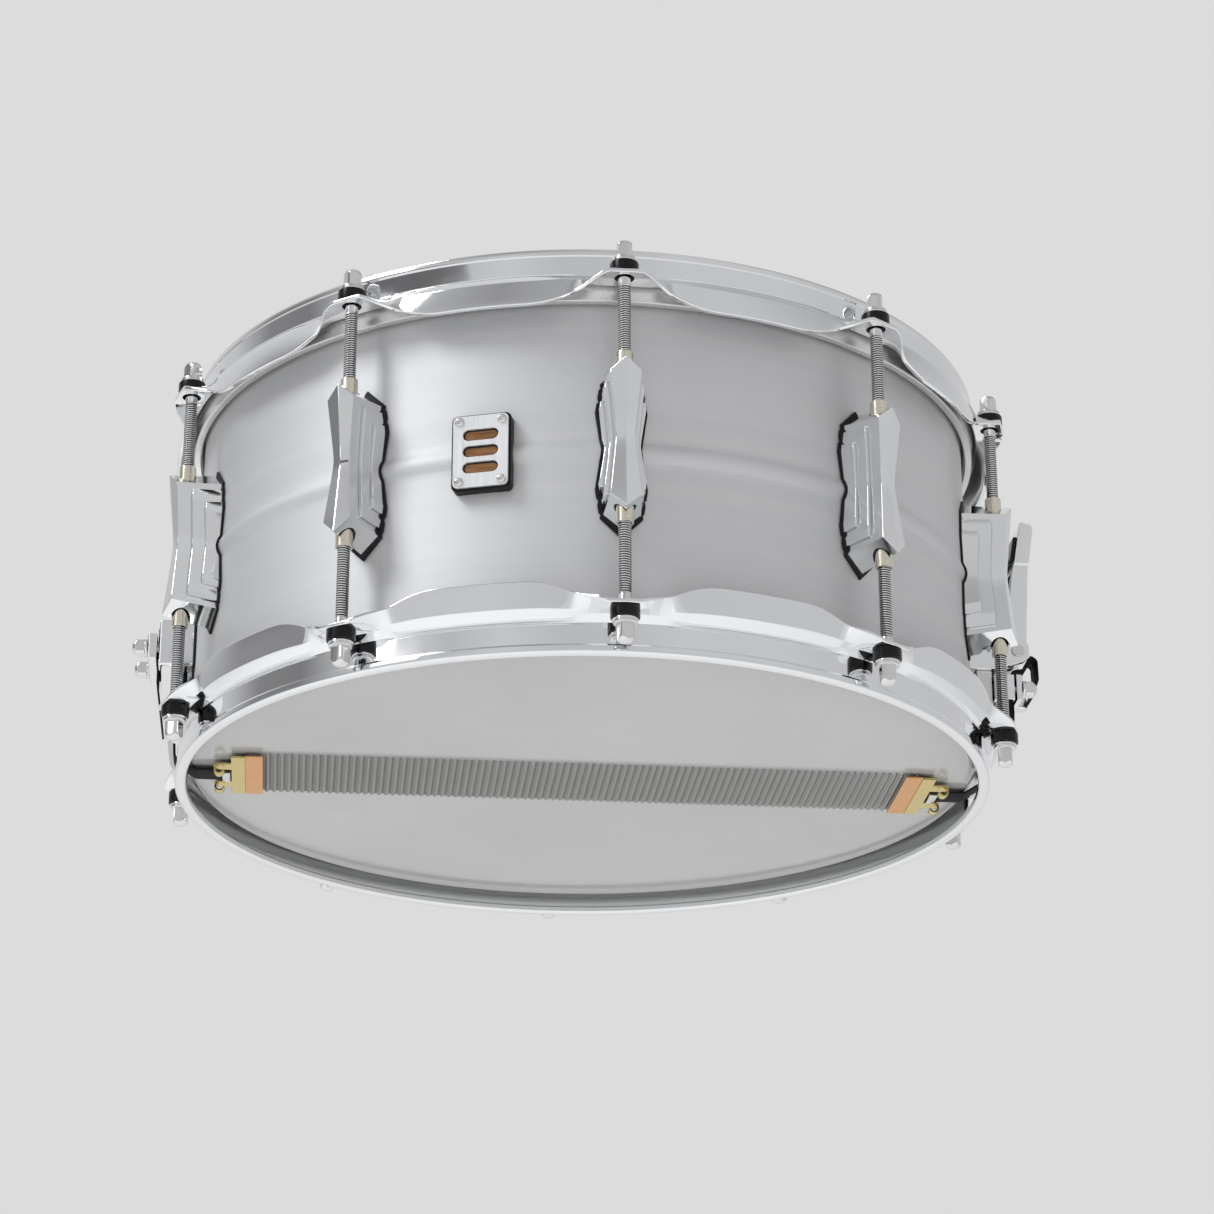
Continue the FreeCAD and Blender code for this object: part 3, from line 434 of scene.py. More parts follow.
def clear_film():
    """Thin hazy film, glossy, with the faint waves that tension leaves in it."""
    surface = Surface("hazy_film", (0.42, 0.42, 0.41), 0.0, 0.11, Specular_IOR_Level=0.7)
    wave = surface.noise(9.0, (0.35, 3.2, 1.0), 3.0, 0.5)
    grain = surface.noise(260.0, (0.25, 1.6, 1.0), 3.0, 0.6)
    cloud = surface.noise(6.0)
    surface.feed("Base Color", surface.ramp(cloud, [
        (0.3, (0.39, 0.39, 0.38)), (0.7, (0.45, 0.45, 0.44))]))
    surface.feed("Roughness", surface.spread(cloud, 0.08, 0.16))
    surface.bump(wave, 0.25, 0.0006)
    surface.bump(grain, 0.04, 0.0001)
    return surface.material


def rubber(name, colour=(0.006, 0.006, 0.007), roughness=0.5):
    """Black rubber or nylon with a moulded grain."""
    surface = Surface(name, colour, 0.0, roughness, Specular_IOR_Level=0.25)
    grain = surface.noise(1300.0, detail=3.0)
    surface.feed("Roughness", surface.spread(grain, roughness * 0.85, roughness * 1.2))
    surface.bump(grain, 0.2, 0.00005)
    return surface.material


def walnut():
    """Oiled walnut with level grain; a thin black rim just inside each of the plate's slots is
    painted shadow, and outside the slots the block is coloured black.
    """
    surface = Surface("walnut", (0.30, 0.15, 0.06), 0.0, 0.42, Specular_IOR_Level=0.2)
    grain = surface.noise(1.0, (90.0, 90.0, 900.0), 6.0, 0.6)
    pores = surface.noise(1.0, (400.0, 400.0, 4200.0), 3.0, 0.6)
    figure = surface.ramp(grain, [
        (0.25, (0.10, 0.042, 0.016)), (0.5, (0.24, 0.115, 0.045)), (0.8, (0.36, 0.19, 0.08))])
    slot_step = 7.4 * MM
    slot_r = 2.5 * MM
    slot_straight_half = 5.1 * MM
    plate_low, plate_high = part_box("badge_plate")
    plate_mid = (plate_low + plate_high) / 2.0
    side = Vector((-plate_mid.y, plate_mid.x, 0.0)).normalized()
    where = surface.where()
    across = surface.node("ShaderNodeVectorMath", operation="DOT_PRODUCT")
    across.inputs[1].default_value = side
    surface.links.new(where, across.inputs[0])
    from_end = surface.math("SUBTRACT", surface.math("ABSOLUTE", across.outputs["Value"]),
                            slot_straight_half)
    beyond = surface.math("MAXIMUM", from_end, 0.0)
    height = surface.math("SUBTRACT", surface.split(where)["Z"], plate_mid.z)
    row = surface.math("WRAP", height, slot_step / 2.0, -slot_step / 2.0)
    square = surface.math("ADD", *(surface.math("POWER", reach, 2.0) for reach in (beyond, row)))
    # Painted shadow: the wood stops 0.55 to 0.75 mm short of each slot's edge, so a black rim lines
    # the slot as if its wall shaded it.
    inside = surface.spread(surface.math("SQRT", square), 1.0, 0.0,
                            slot_r - 0.75 * MM, slot_r - 0.55 * MM)
    near = surface.spread(surface.math("ABSOLUTE", height), 1.0, 0.0,
                          slot_step * 1.45, slot_step * 1.5)
    wood_within_shadow_rim = surface.math("MULTIPLY", inside, near)
    surface.feed("Base Color", surface.mix(wood_within_shadow_rim, (0.003, 0.003, 0.003), figure))
    surface.bump(pores, 0.25, 0.00008)
    return surface.material


def badge_metal():
    """Brushed plate, its lines running up and down."""
    surface = Surface("badge_metal", (0.80, 0.81, 0.82), 0.6, 0.40)
    lines = surface.noise(1.0, (2400.0, 2400.0, 60.0), 3.0)
    surface.feed("Base Color", surface.ramp(lines, [
        (0.3, (0.72, 0.73, 0.74)), (0.7, (0.84, 0.85, 0.86))]))
    surface.feed("Roughness", surface.spread(lines, 0.30, 0.42))
    surface.bump(lines, 0.12, 0.00004)
    return surface.material


def snare_steel():
    """Coiled steel wire, with painted shade between the turns."""
    surface = Surface("snare_steel", (0.25, 0.245, 0.23), 1.0, 0.3)
    # Painted shade: the wire's colour darkens where the turns crowd together.
    surface.paint_hollow_shade(1.1 * MM, [
        (0.2, (0.05, 0.05, 0.048)), (0.55, (0.17, 0.166, 0.155)), (0.85, (0.42, 0.415, 0.40))])
    surface.feed("Roughness", surface.spread(surface.noise(900.0, detail=2.0), 0.28, 0.36))
    return surface.material


def webbing():
    """Black woven strap: ribs across it, a plain weave between them."""
    surface = Surface("webbing", (0.008, 0.008, 0.009), 0.0, 0.7, Specular_IOR_Level=0.2)
    for direction, scale, relief in (("Z", 260.0, 0.00015), ("Y", 340.0, 0.00012)):
        weave = surface.node("ShaderNodeTexWave", bands_direction=direction)
        weave.inputs["Scale"].default_value = scale
        weave.inputs["Distortion"].default_value = 0.6
        surface.links.new(surface.coordinates(), weave.inputs["Vector"])
        surface.bump(weave.outputs["Fac"], 0.5, relief)
    return surface.material


BRUSHED = brushed_shell()
CHROME = chrome()
ROD_STEEL = rod_steel()
KEY_STEEL = chrome("key_steel", (0.76, 0.76, 0.76), 0.07, 0.14)
NICKEL = satin_metal("nickel", (0.80, 0.75, 0.63), 0.24)
STEEL = satin_metal("screw_steel", (0.72, 0.72, 0.71), 0.25)
FLESH = satin_metal("flesh_hoop_metal", (0.74, 0.74, 0.72), 0.34)
COATED = coated_film()
CLEAR = clear_film()
NYLON = rubber("black_nylon", (0.004, 0.004, 0.005), 0.22)
GASKET = rubber("black_gasket")
WALNUT = walnut()
BADGE = badge_metal()
SNARE_STEEL = snare_steel()
COPPER = satin_metal("copper_plate", (0.72, 0.38, 0.155), 0.30)
BRASS = satin_metal("gold_brass", (0.66, 0.53, 0.20), 0.22)
WEBBING = webbing()


# ---------------------------------------------------------------- CAD nodes that stay
def dress(node, surface, edge):
    """A CAD node keeps its shape; it gets a material and softly broken edges."""
    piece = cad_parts[node]
    piece.data.materials.clear()
    piece.data.materials.append(surface)
    weld = piece.modifiers.new("weld", "WELD")
    weld.merge_threshold = 0.12 * MM
    flat = piece.modifiers.new("flat", "DECIMATE")
    flat.decimate_type = "DISSOLVE"
    flat.angle_limit = math.radians(1.0)
    bevel = piece.modifiers.new("edge", "BEVEL")
    bevel.width = edge * MM
    bevel.segments = 2
    bevel.limit_method = "ANGLE"
    bevel.angle_limit = math.radians(32.0)
    bevel.use_clamp_overlap = False
    for polygon in piece.data.polygons:
        polygon.use_smooth = True
    split = piece.modifiers.new("split", "EDGE_SPLIT")
    split.split_angle = math.radians(42.0)
    piece.modifiers.new("normals", "WEIGHTED_NORMAL")
    return piece


# ---------------------------------------------------------------- shell and heads
BEARING_EDGE_R = 174.6


def make_shell():
    """Rolled shell with its centre bead and turned-in bearing edges."""
    bead_half = 4.8
    wall = 1.5
    inner = SHELL_R - wall
    lip_r = 173.5
    turn_z = SHELL_HALF - 3.5
    vent_hole_r = 4.9

    def bead(z, base):
        share = max(1.0 - (z / bead_half) ** 2, 0.0)
        return base + BEAD_PROUD * share * (0.55 + 0.45 * share)

    bead_heights = [bead_half * (1.0 - n / 12.0) for n in range(25)]
    outline = [(SHELL_R, turn_z), (SHELL_R, 30.0), (SHELL_R, 8.0)]
    outline += [(bead(z, SHELL_R), z) for z in bead_heights]
    outline += [(SHELL_R, -8.0), (SHELL_R, -30.0), (SHELL_R, -turn_z)]
    outline += [(BEARING_EDGE_R, -SHELL_HALF), (lip_r, -SHELL_HALF), (lip_r, -SHELL_HALF + 0.4)]
    outline += [(inner, -turn_z + 0.6)]
    outline += [(bead(z, inner), z) for z in reversed(bead_heights)]
    outline += [(inner, turn_z - 0.6)]
    outline += [(lip_r, SHELL_HALF - 0.4), (lip_r, SHELL_HALF), (BEARING_EDGE_R, SHELL_HALF)]
    shell = swept_ring("drum_shell", lambda angle: outline)
    vent_low, vent_high = box_mm("air_vent")
    vent_mid = (vent_low + vent_high) / 2.0
    vent_angle = math.degrees(math.atan2(vent_mid.x, -vent_mid.y))
    carve(shell, drum_cutter([radial_tool(vent_angle, vent_mid.z, vent_hole_r, 165.0, 185.0)]))
    finish_piece(shell, "drum", BRUSHED, "brushed_shell", "shell")


def make_head(name, side, surface, slot, node):
    """Film that lies flat, turns over the bearing edge and drops into its flesh hoop."""
    low = SHELL_HALF
    thick = 0.3
    top = [(r, low + thick) for r in (0.0, 30.0, 60.0, 90.0, 120.0, 150.0, 168.0)]
    knee = [(BEARING_EDGE_R, low + 0.29), (175.5, low + 0.18), (176.3, low - 0.35),
            (177.2, low - 1.2)]
    skirt = [(178.6, low - 2.7), (179.1, low - 3.6), (179.15, 69.3)]
    inside = [(178.85, 69.3), (178.8, low - 3.7), (178.2, low - 2.75), (176.8, low - 1.3)]
    bottom = [(175.9, low - 0.5), (175.2, low - 0.1), (174.4, low), (150.0, low), (0.0, low)]
    outline = [(radius, side * z) for radius, z in top + knee + skirt + inside + bottom]
    head = swept_ring(name, lambda angle: outline, 240, closed=False, sharp=60.0)
    finish_piece(head, "drum", surface, slot, node)


def make_flesh_hoop(name, side, node):
    """Channelled alloy band that the film is glued into."""
    in_r, out_r = 179.2, 182.6
    low, high = side * 67.2, side * 76.15
    outline = rounded([(in_r, low, 0.5), (out_r, low, 0.8), (out_r, high, 0.5), (in_r, high, 0.4)])
    band = swept_ring(name, lambda angle: outline)
    finish_piece(band, "drum", FLESH, "flesh_hoop_alloy", node)


# ---------------------------------------------------------------- hoops
RIM_Z = box_mm("batter_hoop")[1].z
HOOP_R = 183.5
HOOP_WALL = 2.2
RIM_PROUD = 0.35
ROLL_R = 178.7
SEAT_Z = 76.2
EAR_TOP_Z = 75.2
EAR_OUT_R = 198.0
EAR_HALF_ANGLE = 2.05
SKIRT_EDGE_R = 190.0
SKIRT_EDGE_Z = 62.7
SKIRT_THICK = 1.9
SKIRT_FULL_ANGLE = 13.0


def skirt_drop(angle):
    """How far the skirt has come down: 0 at a lug's flat ear, 1 between lugs."""
    share = min(max((abs(angle) - EAR_HALF_ANGLE) / (SKIRT_FULL_ANGLE - EAR_HALF_ANGLE), 0.0), 1.0)
    return 1.0 - (1.0 - share) ** 2.6 * (1.0 + 1.3 * share)


def hoop_section(side):
    """Section of a triple-flange hoop: rolled rim, wall, crease and flared skirt."""
    def section(angle):
        from_lug = (angle + LUG_STEP / 2.0) % LUG_STEP - LUG_STEP / 2.0
        drop = skirt_drop(from_lug)
        reach = smooth_step(abs(from_lug), EAR_HALF_ANGLE, EAR_HALF_ANGLE + 5.0)
        swell = smooth_step(abs(from_lug), 4.2, 7.4)
        edge_r = EAR_OUT_R + (SKIRT_EDGE_R - EAR_OUT_R) * reach
        edge_z = EAR_TOP_Z + (SKIRT_EDGE_Z - EAR_TOP_Z) * drop
        knee_r = 185.8
        knee_z = EAR_TOP_Z + drop + 1.7 * swell
        crease_z = EAR_TOP_Z + 3.584
        groove_r = HOOP_R - 0.5 * swell
        belly_r = knee_r + (edge_r - knee_r) * 0.25 + 1.5 * swell
        belly_z = knee_z + (edge_z - knee_z) * 0.25
        slope = math.atan2(knee_z - edge_z, edge_r - knee_r)
        in_r = SKIRT_THICK * math.sin(slope)
        in_z = SKIRT_THICK * math.cos(slope)
        rim = [(HOOP_R + RIM_PROUD, RIM_Z, 1.3), (HOOP_R + RIM_PROUD, RIM_Z - 3.2, 0.5)]
        wall = [(HOOP_R, RIM_Z - 3.9, 0.5), (HOOP_R, crease_z + 0.7, 0.4),
                (groove_r, crease_z - 0.3, 0.5)]
        skirt = [(knee_r, knee_z, 0.9), (belly_r, belly_z, 1.6), (edge_r, edge_z, 0.6)]
        under = [(edge_r - in_r, edge_z - in_z, 0.6),
                 (184.9 - 0.3 * drop, EAR_TOP_Z - SKIRT_THICK + 0.6 * drop, 0.6)]
        seat = [(182.9, SEAT_Z, 0.2), (HOOP_R - HOOP_WALL, SEAT_Z, 0.2)]
        roll = [(HOOP_R - HOOP_WALL, RIM_Z - 3.6, 0.5), (ROLL_R + 0.7, RIM_Z - 3.6, 0.6),
                (ROLL_R, RIM_Z - 2.9, 0.5), (ROLL_R, RIM_Z, 1.2)]
        corners = rim + wall + skirt + under + seat + roll
        return [(radius, side * z) for radius, z in rounded(corners)]
    return section


def make_hoop(name, side, gated, node):
    """A hoop with its ten ear holes; the gated one is cut away for the two straps."""
    hoop = swept_ring(name, hoop_section(side), 720)
    ear_hole_r = 4.2
    z0, z1 = sorted((side * 70.0, side * 80.0))
    tools = [rod_tool(LUG_STEP * n, ear_hole_r, z0, z1) for n in range(LUG_COUNT)]
    if gated:
        gate_half_y = 20.0
        for x0, x1 in ((-200.0, -176.0), (176.0, 200.0)):
            tools.append(box_tool((x0, -gate_half_y, -RIM_Z + 3.8), (x1, gate_half_y, -60.0)))
    carve(hoop, drum_cutter(tools))
    finish_piece(hoop, "drum", CHROME, "chrome", node)


# ---------------------------------------------------------------- lugs
LUG_FOOT_R = 177.9
LUG_ROWS = 17
WAIST_BEND = 0.09


def waisted(low, high, share):
    """From the waist's value to the shoulder's, with a soft bend at the waist."""
    rise, full_rise = (math.hypot(reach, WAIST_BEND) - WAIST_BEND for reach in (share, 1.0))
    return low + (high - low) * rise / full_rise


def loft_lines(waist, shoulder, tip):
    """Stations of one lug body from its lower tip to its upper one, as (radius, y, z) points."""
    stations = [[(r, y, -z) for r, y, z in tip]]
    for row in range(LUG_ROWS):
        share = 2.0 * row / (LUG_ROWS - 1) - 1.0
        station = []
        for (r0, y0), (r1, y1, z1) in zip(waist, shoulder):
            station.append((waisted(r0, r1, abs(share)), waisted(y0, y1, abs(share)), z1 * share))
        stations.append(station)
    return stations + [list(tip)]


def lug_body(name, stations, bevel):
    """One bevelled closed body of the lug at -Y, mirrored about its middle plane."""
    body = bmesh.new()
    rows = []
    for station in stations:
        whole = station + [(r, -y, z) for r, y, z in reversed(station)]
        rows.append([body.verts.new((r, y, z)) for r, y, z in whole])
    count = len(rows[0])
    for before, after in zip(rows, rows[1:]):
        for n in range(count):
            body.faces.new((before[n], before[(n + 1) % count], after[(n + 1) % count], after[n]))
    body.faces.new(rows[0])
    body.faces.new(rows[-1])
    bmesh.ops.remove_doubles(body, verts=body.verts, dist=1e-4)
    bmesh.ops.dissolve_degenerate(body, edges=body.edges, dist=1e-4)
    bmesh.ops.recalc_face_normals(body, faces=body.faces)
    crisp = [edge for edge in body.edges if edge.calc_face_angle(0.0) > math.radians(24.0)
             and min(math.hypot(v.co.x, v.co.y) for v in edge.verts) > LUG_FOOT_R + 1.0]
    bmesh.ops.bevel(body, geom=crisp, offset=bevel, segments=3, profile=0.5, affect="EDGES",
                    clamp_overlap=True)
    body.verts.index_update()
    points = [(v.co.y, -v.co.x, v.co.z) for v in body.verts]
    faces = [tuple(v.index for v in face.verts) for face in body.faces]
    body.free()
    return new_piece(name, points, faces, 30.0)


def make_lugs():
    """Ten cast lugs: a creased, waisted spine between two pairs of stepped wings."""
    foot = LUG_FOOT_R
    nut_pocket_r = 4.6
    lug = lug_body("lug", loft_lines(
        [(foot, 5.0), (196.04, 4.0), (196.9, 0.0)],
        [(foot, 7.9, 29.9), (198.3, 6.6, 27.9), (199.72, 0.0, 27.9)],
        [(foot, 0.0, 37.0), (200.3, 0.0, 33.6), (200.3, 0.0, 33.6)]), 0.28)
    pockets = [rod_tool(0.0, nut_pocket_r, z0, z1) for z0, z1 in ((30.0, 45.0), (-45.0, -30.0))]
    carve(lug, drum_cutter(pockets), 30.0)
    wings = [
        lug_body("wing", loft_lines(
            [(foot, 7.2), (189.8, 5.9), (189.8, 0.0)],
            [(foot, 9.0, 23.4), (191.5, 8.3, 22.2), (191.5, 0.0, 22.2)],
            [(foot, 8.6, 26.4), (191.3, 7.9, 25.4), (191.3, 0.0, 25.4)]), 0.32),
        lug_body("wing", loft_lines(
            [(foot, 8.2), (184.2, 7.4), (184.2, 0.0)],
            [(foot, 10.1, 17.2), (185.6, 9.7, 16.2), (185.6, 0.0, 16.2)],
            [(foot, 9.7, 20.4), (185.4, 9.3, 19.4), (185.4, 0.0, 19.4)]), 0.32),
    ]
    together = bmesh.new()
    together.from_mesh(lug.data)
    for wing in wings:
        together.from_mesh(wing.data)
        bpy.data.objects.remove(wing)
    together.to_mesh(lug.data)
    together.free()
    whole = bmesh.new()
    centre = Matrix.Translation(MID)
    for index in range(LUG_COUNT):
        turned = lug.data.copy()
        turn = Matrix.Rotation(math.radians(LUG_STEP * index), 4, "Z")
        turned.transform(centre @ turn @ centre.inverted())
        whole.from_mesh(turned)
        bpy.data.meshes.remove(turned)
    whole.to_mesh(lug.data)
    whole.free()
    lug.name = "cast_lugs"
    lug.modifiers.new("normals", "WEIGHTED_NORMAL").keep_sharp = True
    finish_piece(lug, "drum", CHROME, "chrome", "lugs")


# ---------------------------------------------------------------- tension rods
def rod_rows():
    """(z, radius, kind) rows of a batter-side rod from its inner end to its tip."""
    rows = [(15.0, 2.3, "round"), (15.6, 2.6, "round"), (37.0, 2.6, "round")]
    thread_start = 37.2
    step = THREAD_PITCH / 5.0
    count = int((THREAD_END_Z - thread_start) / step)
    rows += [(thread_start + step * n, ROD_R, "thread") for n in range(count)]
    rows += [(69.8, ROD_R - 0.12, "round"), (70.2, ROD_R, "round"), (80.0, ROD_R, "round")]
    rows += [(80.05, 4.9, "round"), (80.15, 5.25, "round"), (80.4, 5.35, "round"),
             (80.95, 5.35, "round"), (81.1, 5.15, "round"), (81.15, 4.9, "round"),
             (81.3, 4.88, "round"), (81.4, 5.05, "round"), (81.9, 5.1, "round"),
             (82.25, 4.95, "round"), (82.45, 4.5, "round"), (82.5, 4.1, "square")]
    dome_z = 87.4
    dome = 3.1
    rows += [(z, 4.1, "square") for z in (82.9, 85.0, dome_z)]
    for n in range(1, 9):
        turn = math.radians(n * 11.0)
        rows.append((dome_z + dome * math.sin(turn), 1.0 + dome * math.cos(turn), "square"))
    return rows


def rod_mesh(name, side):
    """A rod about its own axis, with the thread's ridge winding up it and a square key end."""
    around = 24
    key_half = 3.2
    thread_depth = 0.42
    points = []
    rows = rod_rows()
    for z, radius, kind in rows:
        for n in range(around):
            bearing = 2.0 * math.pi * n / around
            reach = radius
            if kind == "thread":
                phase = (z / THREAD_PITCH - n / around) % 1.0
                reach -= thread_depth * abs(2.0 * phase - 1.0)
            if kind == "square":
                reach = min(radius, key_half / max(abs(math.cos(bearing)), abs(math.sin(bearing))))
            points.append((reach * math.cos(bearing), reach * math.sin(bearing), side * z))
    piece = new_piece(name, points, tube_faces(len(rows), around), 40.0)
    mesh = piece.data
    mesh.transform(Matrix.Translation(-MID))
    mesh.materials.append(ROD_STEEL)
    bpy.data.objects.remove(piece)
    return mesh


def make_rod(node, mesh, turn):
    """One rod at its CAD node's place; the node's body has the same name."""
    rod = bpy.data.objects.new(node.replace("tension_rod", "rod"), mesh)
    bpy.context.scene.collection.objects.link(rod)
    low, high = box_mm(node)
    middle = (low + high) / 2.0
    rod.matrix_world = Matrix.Translation(place(middle.x, middle.y, 0.0)) @ Matrix.Rotation(
        math.radians(turn), 4, "Z")
    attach(rod, node)
    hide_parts(node)


def make_rods():
    """Twenty rods from two meshes, each key end turned differently, as tuning leaves them."""
    batter_mesh = rod_mesh("batter_rod_mesh", UP)
    snare_mesh = rod_mesh("snare_rod_mesh", DOWN)
    for index in range(LUG_COUNT):
        turn = (LUG_STEP + 37.0) * index
        make_rod(f"batter_tension_rod_{index + 1:02d}", batter_mesh, turn)
        make_rod(f"snare_tension_rod_{index + 1:02d}", snare_mesh, turn + 20.0)


# ---------------------------------------------------------------- snares
def make_snare_wires():
    """Every strand is an open coil of round wire; all the coils turn in step."""
    low, high = box_mm("snare_wires")
    strands = 24
    strand_r = (high.z - low.z) / 2.0
    pitch = (high.y - low.y - 2.0 * strand_r) / (strands - 1)
    wire_r = 0.26
    coil_r = strand_r - wire_r
    coil_pitch = 3.2
    per_turn = 12
    around = 5
    mid_z = (low.z + high.z) / 2.0
    half = high.x - 0.4
    count = int(2.0 * half / coil_pitch * per_turn)
    rise = 2.0 * math.pi * coil_r
    points, faces = [], []
    for strand in range(strands):
        y = low.y + strand_r + pitch * strand
        first = len(points)
        for n in range(count + 1):
            turn = 2.0 * math.pi * n / per_turn
            centre = Vector((-half + 2.0 * half * n / count, y + coil_r * math.sin(turn),
                             mid_z + coil_r * math.cos(turn)))
            out = Vector((0.0, math.sin(turn), math.cos(turn)))
            along = Vector((coil_pitch, rise * math.cos(turn), -rise * math.sin(turn))).normalized()
            across = along.cross(out)
            for side in range(around):
                bearing = 2.0 * math.pi * side / around
                spot = centre + (out * math.cos(bearing) + across * math.sin(bearing)) * wire_r
                points.append(tuple(spot))
        faces += [tuple(first + n for n in face) for face in tube_faces(count + 1, around)]
    wires = new_piece("snare_strands", points, faces, 80.0)
    finish_piece(wires, "snares", SNARE_STEEL, "snare_steel", "snare_wires")


# ---------------------------------------------------------------- straps
STRAP_HALF_THICK = 0.45


def strap_line(corners, bend):
    """Points along straight runs joined by round bends, in the drum's XZ plane."""
    step = 1.0
    spots = [Vector(corner) for corner in corners]
    line = [spots[0]]
    for before, here, after in zip(spots, spots[1:], spots[2:]):
        line += corner_arc(before, here, after, bend, 8)
    line.append(spots[-1])
    even = [line[0]]
    for spot in line[1:]:
        start = even[-1]
        parts = max(1, int((spot - start).length / step))
        even += [start.lerp(spot, (n + 1) / parts) for n in range(parts)]
    return even


def make_strap(name, corners, side, bend=4.0):
    """Flat woven strap with rounded edges, along a line in the XZ plane."""
    half_y = 6.5
    half_t = STRAP_HALF_THICK
    line = strap_line(corners, bend)
    outline = [(-half_y + 0.5, half_t), (half_y - 0.5, half_t), (half_y - 0.1, 0.25), (half_y, 0.0),
               (half_y - 0.1, -0.25), (half_y - 0.5, -half_t), (-half_y + 0.5, -half_t),
               (-half_y + 0.1, -0.25), (-half_y, 0.0), (-half_y + 0.1, 0.25)]
    points = []
    for index, spot in enumerate(line):
        before = line[max(index - 1, 0)]
        after = line[min(index + 1, len(line) - 1)]
        along = (after - before).normalized()
        normal = Vector((-along.y, along.x))
        for y, lift in outline:
            at = spot + normal * lift
            points.append((side * at.x, y, at.y))
    strap = new_piece(name, points, tube_faces(len(line), len(outline)), 40.0)
    strap.data.materials.append(WEBBING)
    return strap


def make_straps():
    """The strainer's strap in three pieces, from the clip to the gate, from the gate to the slide
    and from the slide past the clamp, and the butt's in one.
    """
    clip_low, clip_high = box_mm("strainer_end_clip")
    clip_z = (clip_low.z + clip_high.z) / 2.0
    from_clip = [(158.6, clip_z), (174.5, clip_z), (184.4, -79.0)]
    at_gate = (187.0, -64.0)
    at_slide = (197.4, -52.6)
    low = make_strap("strainer_strap_low", from_clip + [at_gate], 1.0)
    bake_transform(low)
    middle = make_strap("strainer_strap_middle", [at_gate, (193.5, -56.6), at_slide], 1.0)
    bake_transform(middle)
    clamp_x = box_mm("strap_clamp_plate")[0].x - STRAP_HALF_THICK
    tail = [(206.6, -23.2), (209.0, -16.2), (212.0, -18.6), (212.2, -28.0), (208.6, -37.6)]
    upper = make_strap("strainer_strap_upper", [
        at_slide, (clamp_x - 0.2, -49.5), (clamp_x, -45.0), (clamp_x, -24.4)] + tail, 1.0, 2.2)
    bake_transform(upper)
    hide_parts("strainer_strap")
    out_x = -box_mm("butt_clamp_plate")[1].x - STRAP_HALF_THICK
    rise_x = 181.4
    over_z = -17.25
    butt = make_strap("butt_strap_band", from_clip + [
        (185.4, -62.0), (rise_x, -46.0), (rise_x, over_z), (out_x, over_z), (out_x, -44.0),
        (190.2, -67.0)], -1.0, 2.0)
    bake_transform(butt)
    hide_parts("butt_strap")


def make_clip_hooks(name, side, clip):
    """Tongues at the ends of a clip's arms, rolled down and back into open loops."""
    low, high = box_mm(clip)
    tip_x = (high.x if side > 0.0 else -low.x) - 2.6
    thick = 0.9
    roll = 1.5
    centre_z = low.z - roll
    outline = []
    for reach, turns in ((roll + thick, range(90, -171, -20)), (roll, range(-170, 91, 20))):
        for turn in turns:
            bend = math.radians(turn)
            outline.append((tip_x + reach * math.cos(bend), centre_z + reach * math.sin(bend)))
    points, faces = [], []
    count = len(outline)
    for arm in (-1.0, 1.0):
        first = len(points)
        for y, shrink in ((9.3, 0.12), (9.7, 0.0), (13.7, 0.0), (14.1, 0.12)):
            for index, (x, z) in enumerate(outline):
                inward = shrink if index < count / 2 else -shrink
                away = Vector((x - tip_x, z - centre_z))
                spot = away * (1.0 - inward / away.length)
                points.append((side * (tip_x + spot.x), arm * y, centre_z + spot.y))
        faces += [tuple(first + n for n in face) for face in ring_faces(4, count, close_rows=False)]
        half = count // 2
        for row in (0, 3):
            for n in range(half - 1):
                start = first + row * count
                end = start + count - 1
                faces.append((start + n, start + n + 1, end - 1 - n, end - n))
    finish_piece(new_piece(name, points, faces, 40.0), "snares", BRASS, "gold_brass")


def make_strap_grip(name, side, clip):
    """Small plated bar that pinches the strap's end against the clip."""
    low, high = box_mm(clip)
    end_x = (high.x if side > 0.0 else -low.x) - 7.4
    top = low.z - 0.02
    outline = rounded([(0.0, 0.0, 0.1), (3.6, 0.0, 0.1), (3.6, -1.1, 0.5), (0.0, -1.1, 0.5)])
    points = []
    for y, pinch in ((-5.6, 0.25), (-5.3, 0.0), (5.3, 0.0), (5.6, 0.25)):
        for x, z in outline:
            reach = end_x + pinch + x * (1.0 - pinch / 1.8)
            points.append((side * reach, y, top + z * (1.0 - pinch)))
    grip = new_piece(name, points, tube_faces(4, len(outline)), 40.0)
    finish_piece(grip, "snares", STEEL, "steel_hardware")


def make_badge_screws():
    """Button-head screws with a round socket, on a dark recessed ring."""
    low, high = box_mm("badge_plate")
    middle = (low + high) / 2.0
    turn = math.atan2(middle.x, -middle.y)
    out = Vector((math.sin(turn), -math.cos(turn), 0.0))
    side = Vector((math.cos(turn), math.sin(turn), 0.0))
    profile = [(0.0, 0.42), (0.85, 0.42), (1.0, 0.55), (1.05, 1.05), (1.2, 1.12), (1.55, 1.0),
               (1.85, 0.72), (2.0, 0.35), (2.05, -0.2)]
    around = 40
    plate_face_r = SHELL_R + 5.8
    reach_y = 9.1
    reach_z = (high.z - low.z) / 2.0 - 2.6
    points, faces = [], []
    for y in (-reach_y, reach_y):
        for z in (-reach_z, reach_z):
            first = len(points)
            centre = side * y + out * plate_face_r + Vector((0.0, 0.0, middle.z + z))
            for radius, height in profile:
                for n in range(around):
                    bend = 2.0 * math.pi * n / around
                    rise = Vector((0.0, 0.0, radius * math.sin(bend)))
                    rim = side * (radius * math.cos(bend)) + rise
                    points.append(tuple(centre + rim + out * height))
            faces += [tuple(first + n for n in face)
                      for face in ring_faces(len(profile), around, close_rows=False)]
    screws = new_piece("badge_screw_heads", points, faces, 30.0, weld=True)
    finish_piece(screws, "drum", STEEL, "steel_hardware", "badge_screws")


